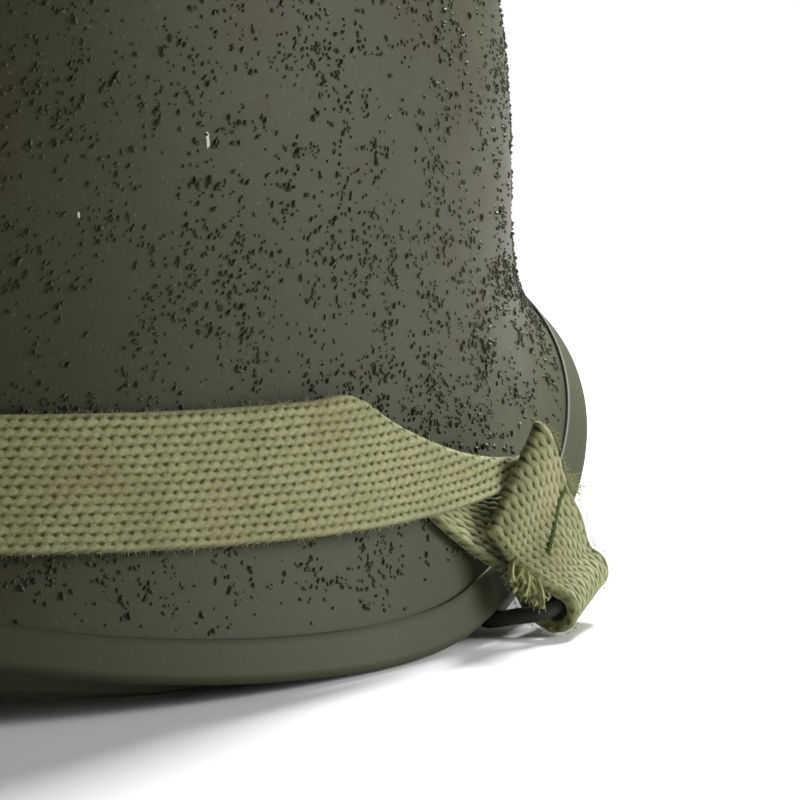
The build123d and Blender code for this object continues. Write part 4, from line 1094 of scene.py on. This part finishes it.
def headband_leather():
    """Leather over the headband's inner face, turned up round its lower edge."""
    angles = np.arange(0, 360, 3.0)
    low, sheet, back = -HEADBAND_WIDTH - LAP, HEADBAND_LEATHER, BAND_WEB + LAP
    roll, bevel = sheet * 0.45, 0.3
    section = [(-bevel, 0), (0, -bevel), (0, -sheet + bevel), (-bevel, -sheet)]
    section += [(y, -sheet) for y in np.linspace(-3, low, 9)]
    section += [(low - sheet + roll, -sheet), (low - sheet, -sheet + roll)]
    section += [(low - sheet, back + sheet - roll), (low - sheet + roll, back + sheet)]
    section += [(low + LEATHER_TURN, back + sheet), (low + LEATHER_TURN, back)]
    section += [(low, back), (low, 0)]
    rings = []
    for angle in angles:
        top, flat = headband_place(angle, BAND_WEB + LAP)
        rings.append([top + UPWARD * y + flat * z for y, z in section])
    verts = np.array(rings).reshape(-1, 3)
    obj = mesh_of("headband_leather_band", verts, hoop_faces(len(rings), len(section)))
    finish_object(obj, "liner", "leather", ["headband_leather"])


LACE_STRANDS, LACE_PITCH, STRAND_OFFSET, STRAND_RADIUS = 3, 4.0, 0.22, 0.27


def crown_lace():
    """Twisted lace pulled straight from strap to strap."""
    share = radians(180 / len(RIVET_ANGLES))
    reach = CROWN_RING_RADIUS / cos(share)
    centre = CROWN_MIDDLE - UPWARD * LACE_TURN
    corners = []
    for angle in RIVET_ANGLES:
        place = radians(angle) + share
        corners.append(centre + reach * np.array((-sin(place), cos(place), 0)))
    path = []
    for a, b in zip(corners, corners[1:] + corners[:1]):
        path += [a + (b - a) * t for t in (0.16, 0.5, 0.84)]
    rows = np.array(path)
    angles = np.linspace(0, len(rows), len(rows) * 24, endpoint=False)
    closed = np.concatenate([rows[-3:], rows, rows[:4]])
    line = smooth(closed, np.arange(len(closed)) - 3.0, angles)
    tangent = unit(np.roll(line, -1, 0) - np.roll(line, 1, 0))
    side = unit(np.cross(tangent, UPWARD))
    run = np.append(0, np.cumsum(length(np.diff(line, axis=0))))
    strands = []
    for k in range(LACE_STRANDS):
        turn = run / LACE_PITCH * 2 * pi + k * 2 * pi / LACE_STRANDS
        offset = side * np.cos(turn)[:, None] + UPWARD * np.sin(turn)[:, None]
        strands.append(line + offset * LACE * STRAND_OFFSET)
    closed = [np.concatenate([s, s[:2]]) for s in strands]
    obj = tube("crown_lace_cord", closed, LACE * STRAND_RADIUS)
    finish_object(obj, "liner", "fibre", ["crown_lace"])


def dress_nodes():
    """Better materials for the CAD nodes that stay."""
    looks = {
        "strip": ("loop_plate_right", "loop_plate_left"),
        "wire": ("wire_loop_right", "wire_loop_left"),
        "brass": ("strap_buckle", "strap_hook", "strap_end_clip", "headband_clips", "liner_eyelet"),
        "liner": ("liner_shell",),
        "rivet": ("a_washers", "suspension_rivets", "nape_rivets", "liner_studs"),
    }
    for look, names in looks.items():
        for name in names:
            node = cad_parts[name]
            node.data.materials.clear()
            node.data.materials.append(MATERIALS[look])


# Studio

CAMERA_PLACE = (-0.5537, 0.8074, 0.1508)
CAMERA_AIM = (-0.0779, -0.0575, 0.0274)
CAMERA_LENS = 290.7
LIGHTS = (
    ("back", (0.12, -1.15, 1.0), (-0.05, 0.0, 0.02), 0.3, 45),
    ("side", (-1.07, -0.82, 0.4), (-0.08, 0.0, 0.05), 0.7, 20),
)
FLOOR_HALF, FLOOR_COLOUR, WORLD_STRENGTH = 6.0, (0.93, 0.93, 0.93, 1), 0.09
# Metres from the origin at which the floor starts to fade to white and has done so
FLOOR_FADE = (0.3, 0.5)


def aimed(name, data, place, aim):
    obj = bpy.data.objects.new(name, data)
    obj.location = place
    obj.rotation_euler = (Vector(aim) - Vector(place)).to_track_quat("-Z", "Y").to_euler()
    return link(obj)


def camera():
    data = bpy.data.cameras.new("camera")
    data.lens = CAMERA_LENS
    data.sensor_width = 36
    data.clip_end = 20
    bpy.context.scene.camera = aimed("camera", data, CAMERA_PLACE, CAMERA_AIM)


def area_light(name, place, aim, size, power):
    data = bpy.data.lights.new(name, "AREA")
    data.shape = "SQUARE"
    data.size = size
    data.energy = power
    aimed(name, data, place, aim)


def pale_floor():
    """Floor that takes the shadow and fades to white where the camera sees it far out."""
    mesh = bpy.data.meshes.new("floor")
    corners = [(x * FLOOR_HALF, y * FLOOR_HALF, 0) for x, y in ((-1, -1), (1, -1), (1, 1), (-1, 1))]
    mesh.from_pydata(corners, [], [(0, 1, 2, 3)])
    floor = link(bpy.data.objects.new("floor", mesh))
    n = Nodes("floor", 0.9, 0.0)
    n.shader.inputs["Base Color"].default_value = FLOOR_COLOUR
    start, end = FLOOR_FADE
    reach = n.math("MULTIPLY", n.vector("LENGTH", n.place), 1 / end)
    far = n.math("MULTIPLY", n.grey(reach, start / end, 1.0),
                 n.add("LightPath").outputs["Is Camera Ray"])
    white = n.add("Emission", Color=(1, 1, 1, 1), Strength=1.0)
    blend = n.add("MixShader", Fac=far)
    n.put(blend.inputs[1], n.shader.outputs["BSDF"])
    n.put(blend.inputs[2], white.outputs["Emission"])
    n.put(n.tree.nodes["Material Output"].inputs["Surface"], blend.outputs["Shader"])
    mesh.materials.append(n.material)


def studio():
    """Floor, lamps, and a dim world that the camera sees as white."""
    pale_floor()
    world = bpy.data.worlds.new("studio")
    bpy.context.scene.world = world
    world.use_nodes = True
    tree = world.node_tree
    background = tree.nodes["Background"]
    background.inputs["Color"].default_value = (1, 1, 1, 1)
    rays = tree.nodes.new("ShaderNodeLightPath")
    strength = tree.nodes.new("ShaderNodeMapRange")
    tree.links.new(rays.outputs["Is Camera Ray"], strength.inputs["Value"])
    strength.inputs["To Min"].default_value = WORLD_STRENGTH
    strength.inputs["To Max"].default_value = 1.0
    tree.links.new(strength.outputs["Result"], background.inputs["Strength"])
    for light in LIGHTS:
        area_light(*light)


steel_bowl()
grit_grains()
rim_channel()
loose_threads(chin_strap())
sling()
dress_nodes()
camera()
studio()
bpy.context.scene.view_settings.view_transform = "Standard"
